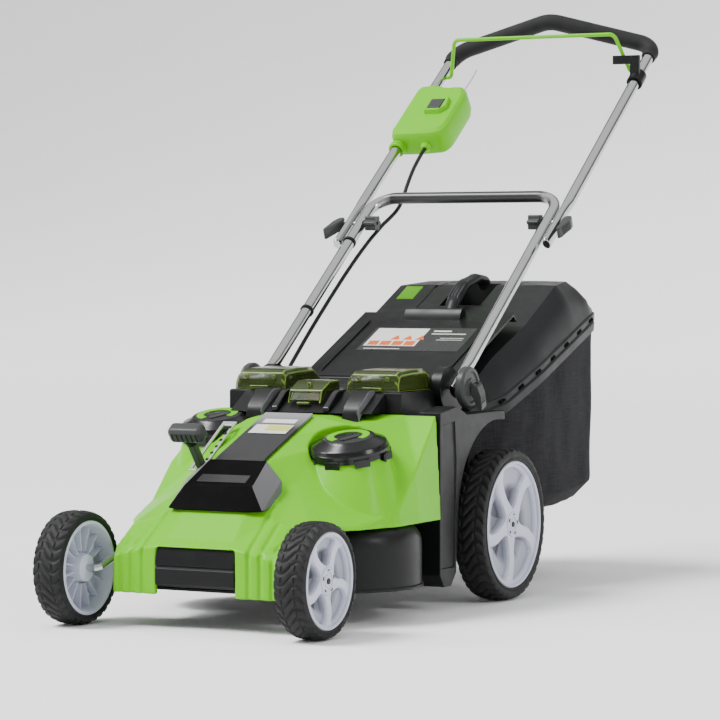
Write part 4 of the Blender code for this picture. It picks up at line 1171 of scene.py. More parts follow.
# ---- battery housing, lids and side panels ----
HOUSING = [
    (0.030, 0.3205), (0.084, 0.3535), (0.230, 0.3535), (0.302, 0.3660), (0.3045, 0.3590), (0.3045, 0.3180),
    (0.225, 0.3060), (0.212, 0.262), (0.088, 0.262), (0.086, 0.3200),
]


def build_housing():
    """The black housing with its bays, raised blocks, ribs, batteries, key and handle bosses."""
    housing = prism(HOUSING, -0.160, 0.160)
    adds, cuts = [], []
    for side in (-1, 1):
        adds.append(rod((side * 0.1632, PIVOT_Y, PIVOT_Z - 0.003), 0.036, 0.0175, "X", 64))
        low, high = sorted((side * 0.1475, side * 0.1600))
        adds.append(block((low, 0.295, 0.345), (high, 0.3205, 0.3700)))
        low, high = sorted((side * 0.0620, side * 0.1460))
        cuts.append(block((low, 0.096, 0.268), (high, 0.203, 0.380)))
        cuts.append(rod((side * 0.150, PIVOT_Y, PIVOT_Z), 0.0044, 0.06, "X", 24))
        low_x, high_x = sorted((side * 0.130, side * 0.170))
        cuts.append(block((low_x, 0.020, 0.310), (high_x, 0.0800, 0.3700)))
    cuts.append(block((-0.024, 0.045, 0.3380), (0.024, 0.110, 0.3700)))
    housing = carved(united(housing, *adds), *cuts)
    make_piece("housing_moulding", housing, "chassis", black_moulding, ["battery_housing"],
               edge=0.0014)
    for side, low_x, high_x in ((-1, -0.100, -0.066), (1, 0.078, 0.112)):
        raised = loft(
            [
                [
                    (low_x + 0.004 * s, y, z), (high_x - 0.004 * s, y, z), (high_x, y, z - 0.020),
                    (low_x, y, z - 0.020),
                ]
                for s, y, z in (
                    (1.0, 0.0245, 0.3200), (0.6, 0.0300, 0.3320), (0.2, 0.0620, 0.3565),
                    (0.2, 0.0900, 0.3580),
                )
            ]
        )
        # painted light: the facet facing +X is painted grey as the lit side
        for face in raised.faces:
            face.material_index = 1 if face.normal.x > 0.45 else 0
        made = make_piece(
            f"front_block_{'L' if side < 0 else 'R'}", raised, "chassis", black_moulding, edge=0.0022,
            segments=3,
        )
        made.data.materials.append(finish(lit_facet_grey))
    for side in (-1, 1):
        x = side * 0.0475
        low_x, high_x = sorted((x - 0.0060, x + 0.0060))
        rib = prism([(0.030, 0.3215), (0.030, 0.3290), (0.060, 0.3520), (0.0700, 0.3560), (0.0950, 0.3570),
                     (0.0950, 0.3520), (0.060, 0.3360)], low_x, high_x)
        make_piece(
            f"bay_rib_{'L' if side < 0 else 'R'}", rib, "chassis", black_gloss, edge=0.0030, segments=3,
        )
    for tag, side in SIDES.items():
        low, high = sorted((side * 0.0620, side * 0.1460))
        pack = carved(
            block((low + 0.002, 0.098, 0.2695), (high - 0.002, 0.201, 0.3535)),
            *[
                block((low + 0.012, 0.112 + 0.018 * k, 0.3515), (high - 0.012, 0.119 + 0.018 * k, 0.36))
                for k in range(4)
            ],
        )
        make_piece(f"battery_case_{tag}", pack, "chassis", grey_moulding, [f"battery_{tag}"])
    key = united(
        block((-0.012, 0.072, 0.3384), (0.012, 0.092, 0.3480)),
        block((-0.0035, 0.073, 0.3470), (0.0035, 0.091, 0.3560)),
    )
    make_piece("key_moulding", key, "chassis", key_red, ["safety_key"], edge=0.0012)


def build_lids():
    """The see-through lids over the batteries and the key."""
    for tag, side in SIDES.items():
        skins = []
        for inset in (0.0, 0.0022):
            half, low = 0.048 - inset, 0.3542 - (0.010 if inset else 0.0)
            steps = [
                (0.086 + inset, low, 0.3700 - inset, half),
                (0.092 + inset / 2, low, 0.3815 - inset, half - 0.001),
                (0.100 + inset / 3, low, 0.3862 - inset, half - 0.002),
                (0.140, low, 0.3885 - inset, half - 0.002), (0.190, low, 0.3890 - inset, half - 0.003),
                (0.212 - inset, low, 0.3760 - inset, half - 0.002),
            ]
            skins.append(
                loft(
                    [
                        [
                            (side * 0.105 - w, y, z0), (side * 0.105 + w, y, z0),
                            (side * 0.105 + w - 0.001, y, z1 - 0.006), (side * 0.105 + w - 0.007, y, z1),
                            (side * 0.105 - w + 0.007, y, z1), (side * 0.105 - w + 0.001, y, z1 - 0.006),
                        ]
                        for y, z0, z1, w in steps
                    ]
                )
            )
        lid = carved(*skins)
        tab = block((side * 0.105 - 0.017, 0.0805, 0.3560), (side * 0.105 + 0.017, 0.0890, 0.3605))
        studs = [rod((side * 0.105 + dx, 0.0868, 0.3745), 0.0035, 0.004, "Y", 24) for dx in (-0.026, 0.026)]
        make_piece(f"battery_lid_moulding_{tag}", [lid, tab, *studs], f"battery_lid_body_{tag}", smoky_lid,
                   [f"battery_lid_{tag}"], edge=0.0018, segments=3, rim=lid_edge_highlight)
    outline = [
        (0.044, 0.3345), (0.052, 0.3560), (0.080, 0.3700), (0.112, 0.3710), (0.112, 0.3545),
        (0.070, 0.3545), (0.050, 0.3365),
    ]
    hollow = [(0.040, 0.330), (0.055, 0.3538), (0.082, 0.3672), (0.108, 0.3680), (0.108, 0.330)]
    cover = carved(prism(outline, -0.030, 0.030), prism(hollow, -0.0275, 0.0275))
    tab = block((-0.011, 0.0395, 0.3330), (0.011, 0.0465, 0.3370))
    stud = rod((0, 0.0650, 0.3645), 0.0040, 0.006, "Y", 24)
    make_piece("key_cover_moulding", [cover, tab, stud], "key_cover_body", smoky_lid, ["key_cover"],
               edge=0.0018, segments=3, rim=lid_edge_highlight)


def build_side_panels():
    """The panels over the rear wheels, with a moulded rim round the arch."""
    arch = arc((HALF_WHEELBASE, 0.150), 0.152, 82, 176, 30)
    outline = [
        (0.086, 0.060), (0.086, 0.322), (0.150, 0.330), (0.186, 0.3155), (0.330, 0.3155), (0.334, 0.3010),
        *arch, (0.146, 0.060), (0.128, 0.040), (0.100, 0.040),
    ]
    for tag, side in SIDES.items():
        low, high = sorted((side * 0.1885, side * 0.2270))
        panel = prism(outline, low, high)
        low, high = sorted((side * 0.180, side * 0.2235))
        cuts = [prism([(0.0895, 0.064), (0.0895, 0.318), (0.1480, 0.326), (0.1480, 0.064)], low, high)]
        outside = sorted((side * 0.2245, side * 0.2300))
        cuts.append(
            prism(
                [(0.096, 0.070), (0.096, 0.300), (0.140, 0.306), (0.146, 0.240), (0.140, 0.070)], *outside
            )
        )
        if side < 0:
            cuts.append(block((low - 0.01, 0.050, 0.030), (high + 0.01, 0.160, 0.1518)))
            cuts.append(
                prism(
                    [(0.080, 0.296), (0.200, 0.310), (0.200, 0.340), (0.080, 0.340)], low - 0.01,
                    high + 0.01,
                )
            )
        make_piece(
            f"side_panel_{tag}", carved(panel, *cuts), "chassis", black_moulding,
            [f"rear_side_panel_{tag}"], edge=0.0022,
        )


# ---- height lever ----
def build_lever():
    """The toothed quadrant, the stalk and the ribbed T-knob."""
    slope = math.atan2(0.0738, 0.1139)
    tilt = Matrix.Translation((LEVER_X, -0.0965, 0.2690)) @ Matrix.Rotation(slope, 4, "X")
    plate = carved(
        block((-0.0125, -0.066, 0), (0.0125, 0.066, 0.0025)),
        block((-0.0075, -0.060, -0.01), (0.0075, 0.056, 0.01)),
    )
    teeth = copies_along([(0.0075, -0.054, 0.0022), (0.0075, 0.050, 0.0022)],
                         block((-0.0023, -0.0022, -0.0008), (0.0023, 0.0022, 0.0014)), 7, black_moulding)
    plate.transform(tilt)
    teeth.transform(tilt)
    make_piece("quadrant", plate, "chassis", zinc, ["height_quadrant"], edge=0.0004)
    make_piece("quadrant_teeth", teeth, "chassis", black_moulding, edge=0.0004)
    turn = Matrix.Translation((LEVER_X, LEVER_Y, LEVER_Z)) @ Matrix.Rotation(LEVER_LEAN, 4, "X")
    stalk = block((-0.0060, -0.0065, -0.010), (0.0060, 0.0065, 0.142))
    stalk.transform(turn)
    make_piece("lever_stalk", stalk, "height_lever_body", lever_grey, ["height_lever"])
    knob = block((-0.031, -0.013, 0.1425), (0.031, 0.013, 0.170))
    knob.transform(turn)
    make_piece(
        "knob", knob, "height_lever_body", lever_grey, ["lever_knob"], edge=0.0085,
        segments=5,
    )
    collar = rod((0, 0, 0.1390), 0.0095, 0.010, "Z", 32, tip=0.0115)
    collar.transform(turn)
    grooves = copies_along([(-0.0215, -0.0133, 0.156), (0.0215, -0.0133, 0.156)],
                           block((-0.0010, -0.0007, -0.0075), (0.0010, 0.0007, 0.0075)), 6, black_moulding)
    grooves.transform(turn)
    make_piece(
        "knob_ribs", [collar, grooves], "height_lever_body", black_moulding, edge=0.0003,
    )


# ---- handle ----
def build_lower_handle():
    """The lower tube, its feet pressed flat, with the bolts, brackets and cam levers at its foot."""
    x = LOWER_LEG_X
    corners = [
        leg_point(-x, -0.014), leg_point(-x, 0.030), leg_point(-x, 0.060), leg_point(-x, CROSSBAR_REACH),
        leg_point(x, CROSSBAR_REACH), leg_point(x, 0.060), leg_point(x, 0.030), leg_point(x, -0.014),
    ]
    bend = bent([corners[2], corners[3], corners[4], corners[5]], 0.045, 16)
    path = [corners[0], corners[0].lerp(corners[1], 0.5), corners[1], *bend, corners[6],
            corners[6].lerp(corners[7], 0.5), corners[7]]
    last = len(path) - 1

    def squeeze(k):
        near = min(k, last - k)
        return (0.62, 1.25) if near <= 1 else (0.72, 1.18) if near == 2 else (1, 1)

    make_piece(
        "lower_tube", pipe(path, TUBE, TUBE_SIDES, squeeze), "lower_handle_body", folded_tube,
        ["lower_handle"], edge=0.0008, angle=50,
    )
    for tag, side in SIDES.items():
        centre = (side * 0.2045, PIVOT_Y, PIVOT_Z)
        profile = [
            (0.0044, -0.00825), (0.030, -0.00825), (0.034, -0.0050), (0.034, 0.0040), (0.0315, 0.00825),
            (0.0260, 0.00825), (0.0245, 0.0060), (0.0150, 0.0060), (0.0140, 0.00825), (0.0044, 0.00825),
        ]
        disc = lathe(profile, centre, "X", 96, side)
        make_piece(f"pivot_bracket_{tag}", disc, "lower_handle_body", lever_grey, [f"pivot_disc_{tag}"],
                   edge=0.0006)
        bolt = [rod((side * 0.1845, PIVOT_Y, PIVOT_Z), 0.0040, 0.070, "X", 24),
                rod((side * 0.2200, PIVOT_Y, PIVOT_Z), 0.0058, 0.0035, "X", 6)]
        make_piece(
            f"pivot_bolt_turned_{tag}", bolt, "chassis", zinc, [f"pivot_bolt_{tag}"],
            edge=0.0004,
        )
        lever = cam_lever(side, 0.2210, PIVOT_Y, PIVOT_Z, math.radians(-68), 0.040, 0.0046)
        make_piece(f"pivot_lever_{tag}", lever, f"pivot_cam_body_{tag}", lever_grey, [f"pivot_cam_{tag}"],
                   edge=0.0014, segments=3)


def cam_lever(side, x, y, z, heading, length, bore):
    """A ribbed cam lever, drawn about its pin and turned to its heading."""
    out = Vector((side, 0, 0))
    ahead = Vector((0, math.cos(heading), math.sin(heading)))
    place = Matrix((ahead, out.cross(ahead), out)).transposed().to_4x4()
    place.translation = Vector((side * x, y, z))
    heel = 0.0073
    profile = [
        (0.0100, -heel), (0.022, -0.0035), (length - 0.006, 0.0012), (length, 0.0030),
        (length - 0.0015, 0.0070), (length - 0.006, 0.0088), (0.026, 0.0092), (0.012, 0.0100),
        *arc((0, 0), heel, 90, 270, 18),
    ]
    lever = loft([[(a, w, h) for a, h in profile] for w in (-0.0095, 0.0095)])
    ribs = [block((0.014 + 0.0052 * k, -0.0075, 0.0085), (0.0165 + 0.0052 * k, 0.0075, 0.0108))
            for k in range(int((length - 0.022) / 0.0052))]
    lever = carved(lever, block((-0.012, -bore, -0.012), (bore, bore, bore)))
    for shape in (lever, *ribs):
        shape.transform(place)
    return [closed_up(lever), *[closed_up(rib) for rib in ribs]]


def upper_path(steps=16):
    """The upper tube's centre line, from one end to the other."""
    x = UPPER_LEG_X
    corners = [leg_point(-x, UPPER_START), leg_point(-x, GRIP_REACH), Vector((0, GRIP_APEX_Y, GRIP_APEX_Z)),
               leg_point(x, GRIP_REACH), leg_point(x, UPPER_START)]
    return bent(corners, [0.032, 0.070, 0.032], steps)


def build_upper_handle():
    """The upper tube, flattened where it is clamped, and the foam over its top."""
    path = upper_path()
    ends = []
    for sign in (-1, 1):
        ends.append(
            [
                leg_point(sign * UPPER_LEG_X, r)
                for r in (UPPER_START, UPPER_START + 0.004, 0.480, 0.500, 0.515)
            ]
        )
    chain = ends[0] + path[1:-1] + ends[1][::-1]
    last = len(chain) - 1

    def squeeze(k):
        near = min(k, last - k)
        return [(0.70, 0.85), (0.70, 1.12), (0.70, 1.12), (0.82, 1.08), (1, 1)][near] if near < 5 else (1, 1)

    make_piece(
        "upper_tube", pipe(chain, TUBE, TUBE_SIDES, squeeze), "upper_handle_body", chrome, ["upper_handle"],
        edge=0.0008, angle=50,
    )
    for tag, side in SIDES.items():
        y, z = along_handle(0.4950)
        # painted shade: a dark disc stands in for the shade inside the hole in the tube
        hole = rod((side * (UPPER_LEG_X + 0.0072), y, z), 0.0028, 0.0012, "X", 20)
        make_piece(f"tube_hole_{tag}", hole, "upper_handle_body", dark_steel, edge=0)
    foam_path = [leg_point(-UPPER_LEG_X, 0.975), *path[1:-1], leg_point(UPPER_LEG_X, 0.975)]
    dense = [foam_path[0]]
    for a, b in zip(foam_path, foam_path[1:]):
        count = max(1, int((b - a).length / 0.006))
        dense += [a.lerp(b, k / count) for k in range(1, count + 1)]
    last_point = len(dense) - 1
    radii = [0.0155 - 0.0022 * (1 - step_between(0, 3, min(k, last_point - k))) for k in range(len(dense))]
    make_piece(
        "foam_sleeve", pipe(dense, radii, TUBE_SIDES), "upper_handle_body", grip_foam, ["grip"],
        edge=0.0012,
    )


def build_clamps():
    """Bolt, lobed nut and cam lever, each side."""
    y, z = along_handle(CLAMP_REACH)
    for tag, side in SIDES.items():
        bolt = rod((side * 0.1945, y, z), 0.0030, 0.064, "X", 24)
        make_piece(
            f"clamp_bolt_turned_{tag}", bolt, "lower_handle_body", zinc, [f"clamp_bolt_{tag}"],
            edge=0.0003,
        )
        outline = []
        for k in range(72):
            turn = 2 * math.pi * k / 72
            reach = 0.0125 + 0.0022 * math.cos(6 * turn)
            outline.append((y + reach * math.cos(turn), z + reach * math.sin(turn)))
        low, high = sorted((side * 0.1515, side * 0.1725))
        nut = carved(prism(outline, low, high), rod((side * 0.162, y, z), 0.0034, 0.04, "X", 24))
        make_piece(
            f"lobed_nut_{tag}", nut, f"clamp_nut_body_{tag}", lever_grey, [f"clamp_nut_{tag}"],
            edge=0.0012,
        )
        lever = cam_lever(side, 0.2255, y, z, math.radians(200), 0.060, 0.0036)
        make_piece(f"clamp_lever_{tag}", lever, f"clamp_cam_body_{tag}", lever_grey, [f"clamp_cam_{tag}"],
                   edge=0.0014, segments=3)


def build_bail():
    """The green start bail and the black bracket that guides it."""
    foot_y, foot_z = along_handle(0.930)
    top_y, top_z = 0.945, 0.988
    x = 0.1900 - 0.004
    corners = [(-0.1955, foot_y, foot_z), (-x, foot_y, foot_z), (-0.165, top_y, top_z), (0.165, top_y, top_z),
               (x, foot_y, foot_z), (0.1955, foot_y, foot_z)]
    wire = pipe(bent(corners, [0.008, 0.014, 0.014, 0.008], 10), 0.0036, 20)
    make_piece("bail_wire", wire, "bail_body", green_moulding, ["bail"], edge=0, angle=60)
    reach = 0.905
    clear = pipe([leg_point(UPPER_LEG_X, 0.86), leg_point(UPPER_LEG_X, 0.95)], TUBE + FIT, TUBE_SIDES)
    sleeve = pipe([leg_point(UPPER_LEG_X, reach + end) for end in (-0.014, 0.014)], 0.0150, TUBE_SIDES)
    y, z = along_handle(reach)
    stem = block((0.1975, y - 0.011, z), (0.2155, y - 0.004, z + 0.044))
    bar = block((0.1630, y - 0.011, z + 0.028), (0.2155, y - 0.004, z + 0.044))
    bracket = carved(united(sleeve, stem, bar), clear)
    make_piece(
        "guide_bracket", bracket, "upper_handle_body", black_moulding, ["bail_bracket"],
        edge=0.0014,
    )


def build_switch_box():
    """The green switch housing with its raised boss, button, pull wire and cable gland."""
    x = -UPPER_LEG_X
    plan = rounded(
        [
            (-0.014, 0.712), (-0.008, 0.700), (0.048, 0.7010), (0.090, 0.7060), (0.0980, 0.7250),
            (0.0980, 0.835), (0.0820, 0.862), (0.050, 0.858), (0.022, 0.868), (-0.010, 0.866),
            (-0.014, 0.850),
        ],
        [0.006, 0.006, 0.02, 0.010, 0.014, 0.018, 0.012, 0.012, 0.010, 0.008, 0.010], 4,
    )
    levels = (
        (-0.0260, 0.86), (-0.0215, 0.95), (-0.0120, 1.0), (0.0180, 1.0), (0.0255, 0.955), (0.0300, 0.87)
    )
    box = loft([[leg_point(x + 0.040 + (a - 0.040) * s, 0.785 + (r - 0.785) * s, rise) for a, r in plan]
                for rise, s in levels])
    boss = [
        (-0.018, -0.022), (0.012, -0.022), (0.024, -0.006), (0.020, 0.022), (-0.010, 0.022), (-0.024, 0.004)
    ]
    raised = loft([[leg_point(x + BUTTON_X + a * s, BUTTON_REACH + b * s, rise) for a, b in boss]
                   for rise, s in ((0.026, 1.04), (0.0385, 0.93))])
    bore = pipe([leg_point(x, 0.60), leg_point(x, 0.92)], TUBE + FIT, TUBE_SIDES)
    well = button_block(0.0142, 0.0150, 0.020, 0.050)
    body = carved(united(box, raised), bore, well)
    make_piece("switch_housing", body, "upper_handle_body", green_moulding, ["switch_box"],
               edge=0.0022, segments=3)
    button = button_block(0.0132, 0.0140, 0.0246, 0.0400)
    make_piece(
        "button", button, "start_button_body", lever_grey, ["start_button"], edge=0.0016,
        segments=3,
    )
    collars = [
        lathe(
            [
                (TUBE + 0.0003, -0.003), (0.0150, -0.003), (0.0158, 0), (0.0150, 0.003),
                (TUBE + 0.0003, 0.003),
            ],
            (0, 0, 0), "Z", 64,
        )
        for _ in range(2)
    ]
    for collar, reach in zip(collars, (0.690, 0.697)):
        place = leg_point(x, reach)
        collar.transform(Matrix.Translation(place) @ Matrix.Rotation(HANDLE_ANGLE - math.pi / 2, 4, "X"))
    gland = pipe(
        [
            leg_point(-0.1500, 0.693, -0.002), leg_point(-0.1505, 0.699, -0.002),
            leg_point(-0.151, 0.712, -0.002),
        ],
        [0.0062, 0.0105, 0.0120], 32,
    )
    make_piece(
        "switch_collars", [*[closed_up(c) for c in collars], gland], "upper_handle_body", green_moulding,
        edge=0.0008,
    )
    wire_route = [
        leg_point(x + 0.072, 0.852, 0.006), leg_point(x + 0.0735, 0.880, 0.008),
        leg_point(x + 0.0745, 0.910, 0.008), leg_point(x + 0.0745, 0.938, 0.010),
    ]
    make_piece("pull_wire", pipe(smooth_route(wire_route, 8), 0.0012, 12), "upper_handle_body", zinc, edge=0)


def button_block(half_x, half_along, low, high):
    """A block square to the handle at the start button's place."""
    x, reach = BUTTON_X - UPPER_LEG_X, BUTTON_REACH
    corners = ((-half_x, -half_along), (half_x, -half_along), (half_x, half_along), (-half_x, half_along))
    return loft([[leg_point(x + a, reach + b, rise) for a, b in corners] for rise in (low, high)])


UPPER_CABLE = [
    (-0.150, 0.700, -0.002), (-0.150, 0.670, -0.002), (-0.149, 0.630, -0.004), (-0.147, 0.590, -0.010),
    (-0.146, 0.550, -0.020), (-0.148, 0.520, -0.022), (-0.156, 0.480, -0.020),
]
LOWER_CABLE = [
    (-0.156, 0.4795, -0.020), (-0.166, 0.430, -0.022), (-0.171, 0.360, -0.022), (-0.172, 0.280, -0.021),
    (-0.172, 0.180, -0.021), (-0.170, 0.110, -0.021), (-0.166, 0.070, -0.018), (-0.160, 0.050, -0.014),
]


def build_cables():
    """The switch cable down the handle, in two lengths that meet by the clamp, and its clips."""
    radius = sizes().cable / 2
    upper = pipe(smooth_route([leg_point(*p) for p in UPPER_CABLE], 16), radius, 20)
    make_piece(
        "switch_cable_upper", upper, None, cable_sheath, ["cable_upper"], edge=0, angle=60,
        blend=("lower_handle_body", "upper_handle_body", leg_point(-0.150, 0.46), leg_point(-0.150, 0.60)),
    )
    last = Vector((-0.157, PIVOT_Y + 0.030, PIVOT_Z - 0.004))
    lower = pipe(smooth_route([leg_point(*p) for p in LOWER_CABLE] + [last], 16), radius, 20)
    make_piece(
        "switch_cable_lower", lower, None, cable_sheath, ["cable_lower"], edge=0, angle=60,
        blend=("chassis", "lower_handle_body", leg_point(-0.170, 0.030), leg_point(-0.170, 0.140)),
    )
    clips = []
    for reach in (0.200, 0.400):
        ring = lathe(
            [
                (TUBE + 0.0002, -0.003), (TUBE + 0.0018, -0.003), (TUBE + 0.0018, 0.003),
                (TUBE + 0.0002, 0.003),
            ],
            (0, 0, 0), "Z", 48,
        )
        ring.transform(
            Matrix.Translation(leg_point(-LOWER_LEG_X, reach))
            @ Matrix.Rotation(HANDLE_ANGLE - math.pi / 2, 4, "X")
        )
        clips.append(closed_up(ring))
    make_piece("cable_clips", clips, "lower_handle_body", black_moulding, edge=0.0004)


# ---- door and grass bag ----
def door_place(reach, rise):
    """(y, z) of a point this far down the door from its hinge, and this far square to it."""
    return (DOOR_HINGE_Y + reach * math.cos(DOOR_SLOPE) - rise * math.sin(DOOR_SLOPE),
            DOOR_HINGE_Z + reach * math.sin(DOOR_SLOPE) + rise * math.cos(DOOR_SLOPE))


def build_door():
    """The sprung door with its pull lip and its plain label plate."""
    sheet = [
        door_place(*p)
        for p in (
            (0.0, 0.0044), (0.252, 0.0035), (0.258, -0.010), (0.262, -0.010), (0.256, 0.0080), (0.0, 0.0080)
        )
    ]
    lip = [
        door_place(*p)
        for p in (
            (0.222, 0.006), (0.252, 0.006), (0.251, 0.016), (0.247, 0.0210), (0.240, 0.0220),
            (0.232, 0.0180), (0.226, 0.0110),
        )
    ]
    door = united(prism(sheet, -0.1470, 0.1470), rod((0, DOOR_HINGE_Y, DOOR_HINGE_Z), 0.0068, 0.290, "X", 48),
                  prism(lip, -0.055, 0.055))
    ribs = []
    for x in (-0.120, 0.120):
        rib = [door_place(*p) for p in ((0.012, 0.0075), (0.220, 0.0075), (0.212, 0.0105), (0.020, 0.0105))]
        ribs.append(prism(rib, x - 0.0022, x + 0.0022))
    door = carved(united(door, *ribs), rod((0, DOOR_HINGE_Y, DOOR_HINGE_Z), 0.0034, 0.40, "X", 24))
    make_piece(
        "door_moulding", door, "door", black_moulding, ["discharge_door"], edge=0.0016
    )
    plates = [
        (plate_grey, "door_label", [(-0.092, 0.105, 0.100, 0.192, 0.0083)]),
        (
            plate_white, "door_plate_white",
            [
                (-0.086, 0.014, 0.118, 0.188, 0.0087), (0.026, 0.060, 0.176, 0.181, 0.0087),
                (0.026, 0.092, 0.166, 0.169, 0.0087), (0.050, 0.095, 0.150, 0.1515, 0.0087),
                (0.045, 0.095, 0.143, 0.1445, 0.0087), (-0.080, -0.010, 0.106, 0.108, 0.0087),
            ],
        ),
        (
            plate_orange, "door_plate_orange",
            [(-0.080 + 0.0235 * k, -0.061 + 0.0235 * k, 0.121, 0.137, 0.0091) for k in range(4)],
        ),
    ]
    for maker, name, patches in plates:
        shapes = []
        for low, high, near, far, rise in patches:
            outline = [
                door_place(*p)
                for p in ((near, rise - 0.0006), (far, rise - 0.0006), (far, rise), (near, rise))
            ]
            shapes.append(prism(outline, low, high))
        make_piece(name, shapes, "door", maker, edge=0)
    signs = []
    for k in range(3):
        corners = [(-0.044 + 0.024 * k, 0.143), (-0.026 + 0.024 * k, 0.143), (-0.035 + 0.024 * k, 0.160)]
        signs.append(loft([[(x, *door_place(r, rise)) for x, r in corners] for rise in (0.0083, 0.0091)]))
    make_piece("door_plate_signs", signs, "door", plate_orange, edge=0)


BAG_STATIONS = [
    (0.3574, 0.178, 0.300, 0.338, 0.140, 0.150, 0.138),
    (0.440, 0.150, 0.322, 0.398, 0.165, 0.180, 0.150),
    (0.560, 0.124, 0.372, 0.452, 0.180, 0.194, 0.158),
    (0.700, 0.128, 0.425, 0.522, 0.180, 0.194, 0.155),
    (0.790, 0.136, 0.455, 0.530, 0.176, 0.190, 0.138),
    (0.812, 0.150, 0.459, 0.505, 0.172, 0.184, 0.125),
]


def bag_station(y):
    """The bag's measures at this distance back, smooth between its stations."""
    rows = BAG_STATIONS
    for a, b in zip(rows, rows[1:]):
        if y <= b[0] + 1e-9:
            t = (y - a[0]) / (b[0] - a[0])
            return [p + (q - p) * t for p, q in zip(a, b)]
    return list(rows[-1])


def rounded(corners, radius, steps=5):
    """A closed (x, z) outline with its corners rounded."""
    points = []
    count = len(corners)
    for k in range(count):
        before, corner, after = (Vector(corners[(k + d) % count]) for d in (-1, 0, 1))
        r = radius[k] if isinstance(radius, (list, tuple)) else radius
        start = corner + (before - corner).normalized() * min(r, (before - corner).length * 0.45)
        end = corner + (after - corner).normalized() * min(r, (after - corner).length * 0.45)
        for i in range(steps + 1):
            t = i / steps
            points.append(tuple((1 - t) ** 2 * start + 2 * t * (1 - t) * corner + t * t * end))
    return points


def cloth_ring(y, inset, over):
    """The cloth's open outline at this distance back."""
    _, floor, rim, _, low, wide, _ = bag_station(min(max(y, 0.3574), 0.812))
    low, wide, foot, top = low - inset, wide - inset - 0.002, floor + inset, rim - 0.0006 + over
    corners = [
        (-wide, top), (-wide - 0.0, (top + foot) / 2), (-wide, foot + 0.030), (0.02 - low, foot),
        (0, foot - 0.001), (low - 0.02, foot), (wide, foot + 0.030), (wide, (top + foot) / 2), (wide, top),
    ]
    dense = []
    for (ax, az), (bx, bz) in zip(corners, corners[1:]):
        for k in range(8):
            dense.append((ax + (bx - ax) * k / 8, az + (bz - az) * k / 8))
    dense.append(corners[-1])
    return dense


def build_bag():
    """The sagging cloth body, the hard lid with its carry handle, rim slots and bag-full flap."""
    ys = [0.3574, 0.3600, *[0.3700 + 0.0130 * k for k in range(33)], 0.7980, 0.8060, 0.8120]
    rings = []
    for y in ys:
        shrink = 0.010 * (1 - math.sqrt(max(0.0, 1 - (max(0.0, y - 0.7960) / 0.0165) ** 2)))
        ring = []
        for x, z in cloth_ring(y, shrink, 0):
            rim = bag_station(min(y, 0.812))[2]
            depth = step_between(0.0, 0.030, rim - z)
            middle = math.sin(math.pi * step_between(0.36, 0.82, y)) * depth
            wrinkle = noise.noise(Vector((x * 9, y * 13, z * 11))) * 0.0045 + noise.noise(
                Vector((x * 26, y * 30, z * 8))
            ) * 0.0016
            out = Vector((x, z - 0.30))
            out = out.normalized() if out.length else Vector((0, -1))
            push = depth * (wrinkle + 0.0020 * middle - 0.0030)
            ring.append((x + out.x * push, y, z + out.y * push))
        rings.append(ring)
    outer = loft(rings)
    inner = loft([[(x, y, z) for x, z in cloth_ring(y, 0.0085, 0.02)]
                  for y in (0.330, 0.3574, 0.44, 0.50, 0.56, 0.63, 0.70, 0.75, 0.790, 0.8020)])
    cloth = carved(outer, inner)
    layer = cloth.loops.layers.uv.new("cloth")
    for face in cloth.faces:
        normal = face.normal
        for loop in face.loops:
            x, y, z = loop.vert.co
            flat = (y, z) if abs(normal.x) > 0.7 else (x, y) if abs(normal.z) > 0.7 else (x, z)
            loop[layer].uv = flat
    make_piece("bag_cloth", cloth, "grass_bag", bag_weave, ["bag_fabric"], edge=0, angle=60)
    build_bag_lid()


def lid_ring(y, inset, drop):
    """The lid's outline at this distance back, drawn in by inset and down by drop."""
    _, _, rim, top, _, wide, crown = bag_station(min(max(y, 0.3574), 0.812))
    wide, crown, shoulder = wide - inset, crown - inset, rim + 0.55 * (top - rim) - inset
    half = [
        (wide, rim - drop), (wide, rim + 0.0130 - inset), (wide - 0.0045, rim + 0.0150 - inset),
        (wide - 0.0055, rim + 0.0200 - inset), (wide - 0.013, shoulder),
        ((wide - 0.013 + crown) / 2, (shoulder + top - inset) / 2 + 0.003), (crown, top - inset - 0.0008),
        (crown * 0.6, top - inset + 0.0002),
    ]
    return [(-x, y, z) for x, z in half] + [(x, y, z) for x, z in half[::-1]]


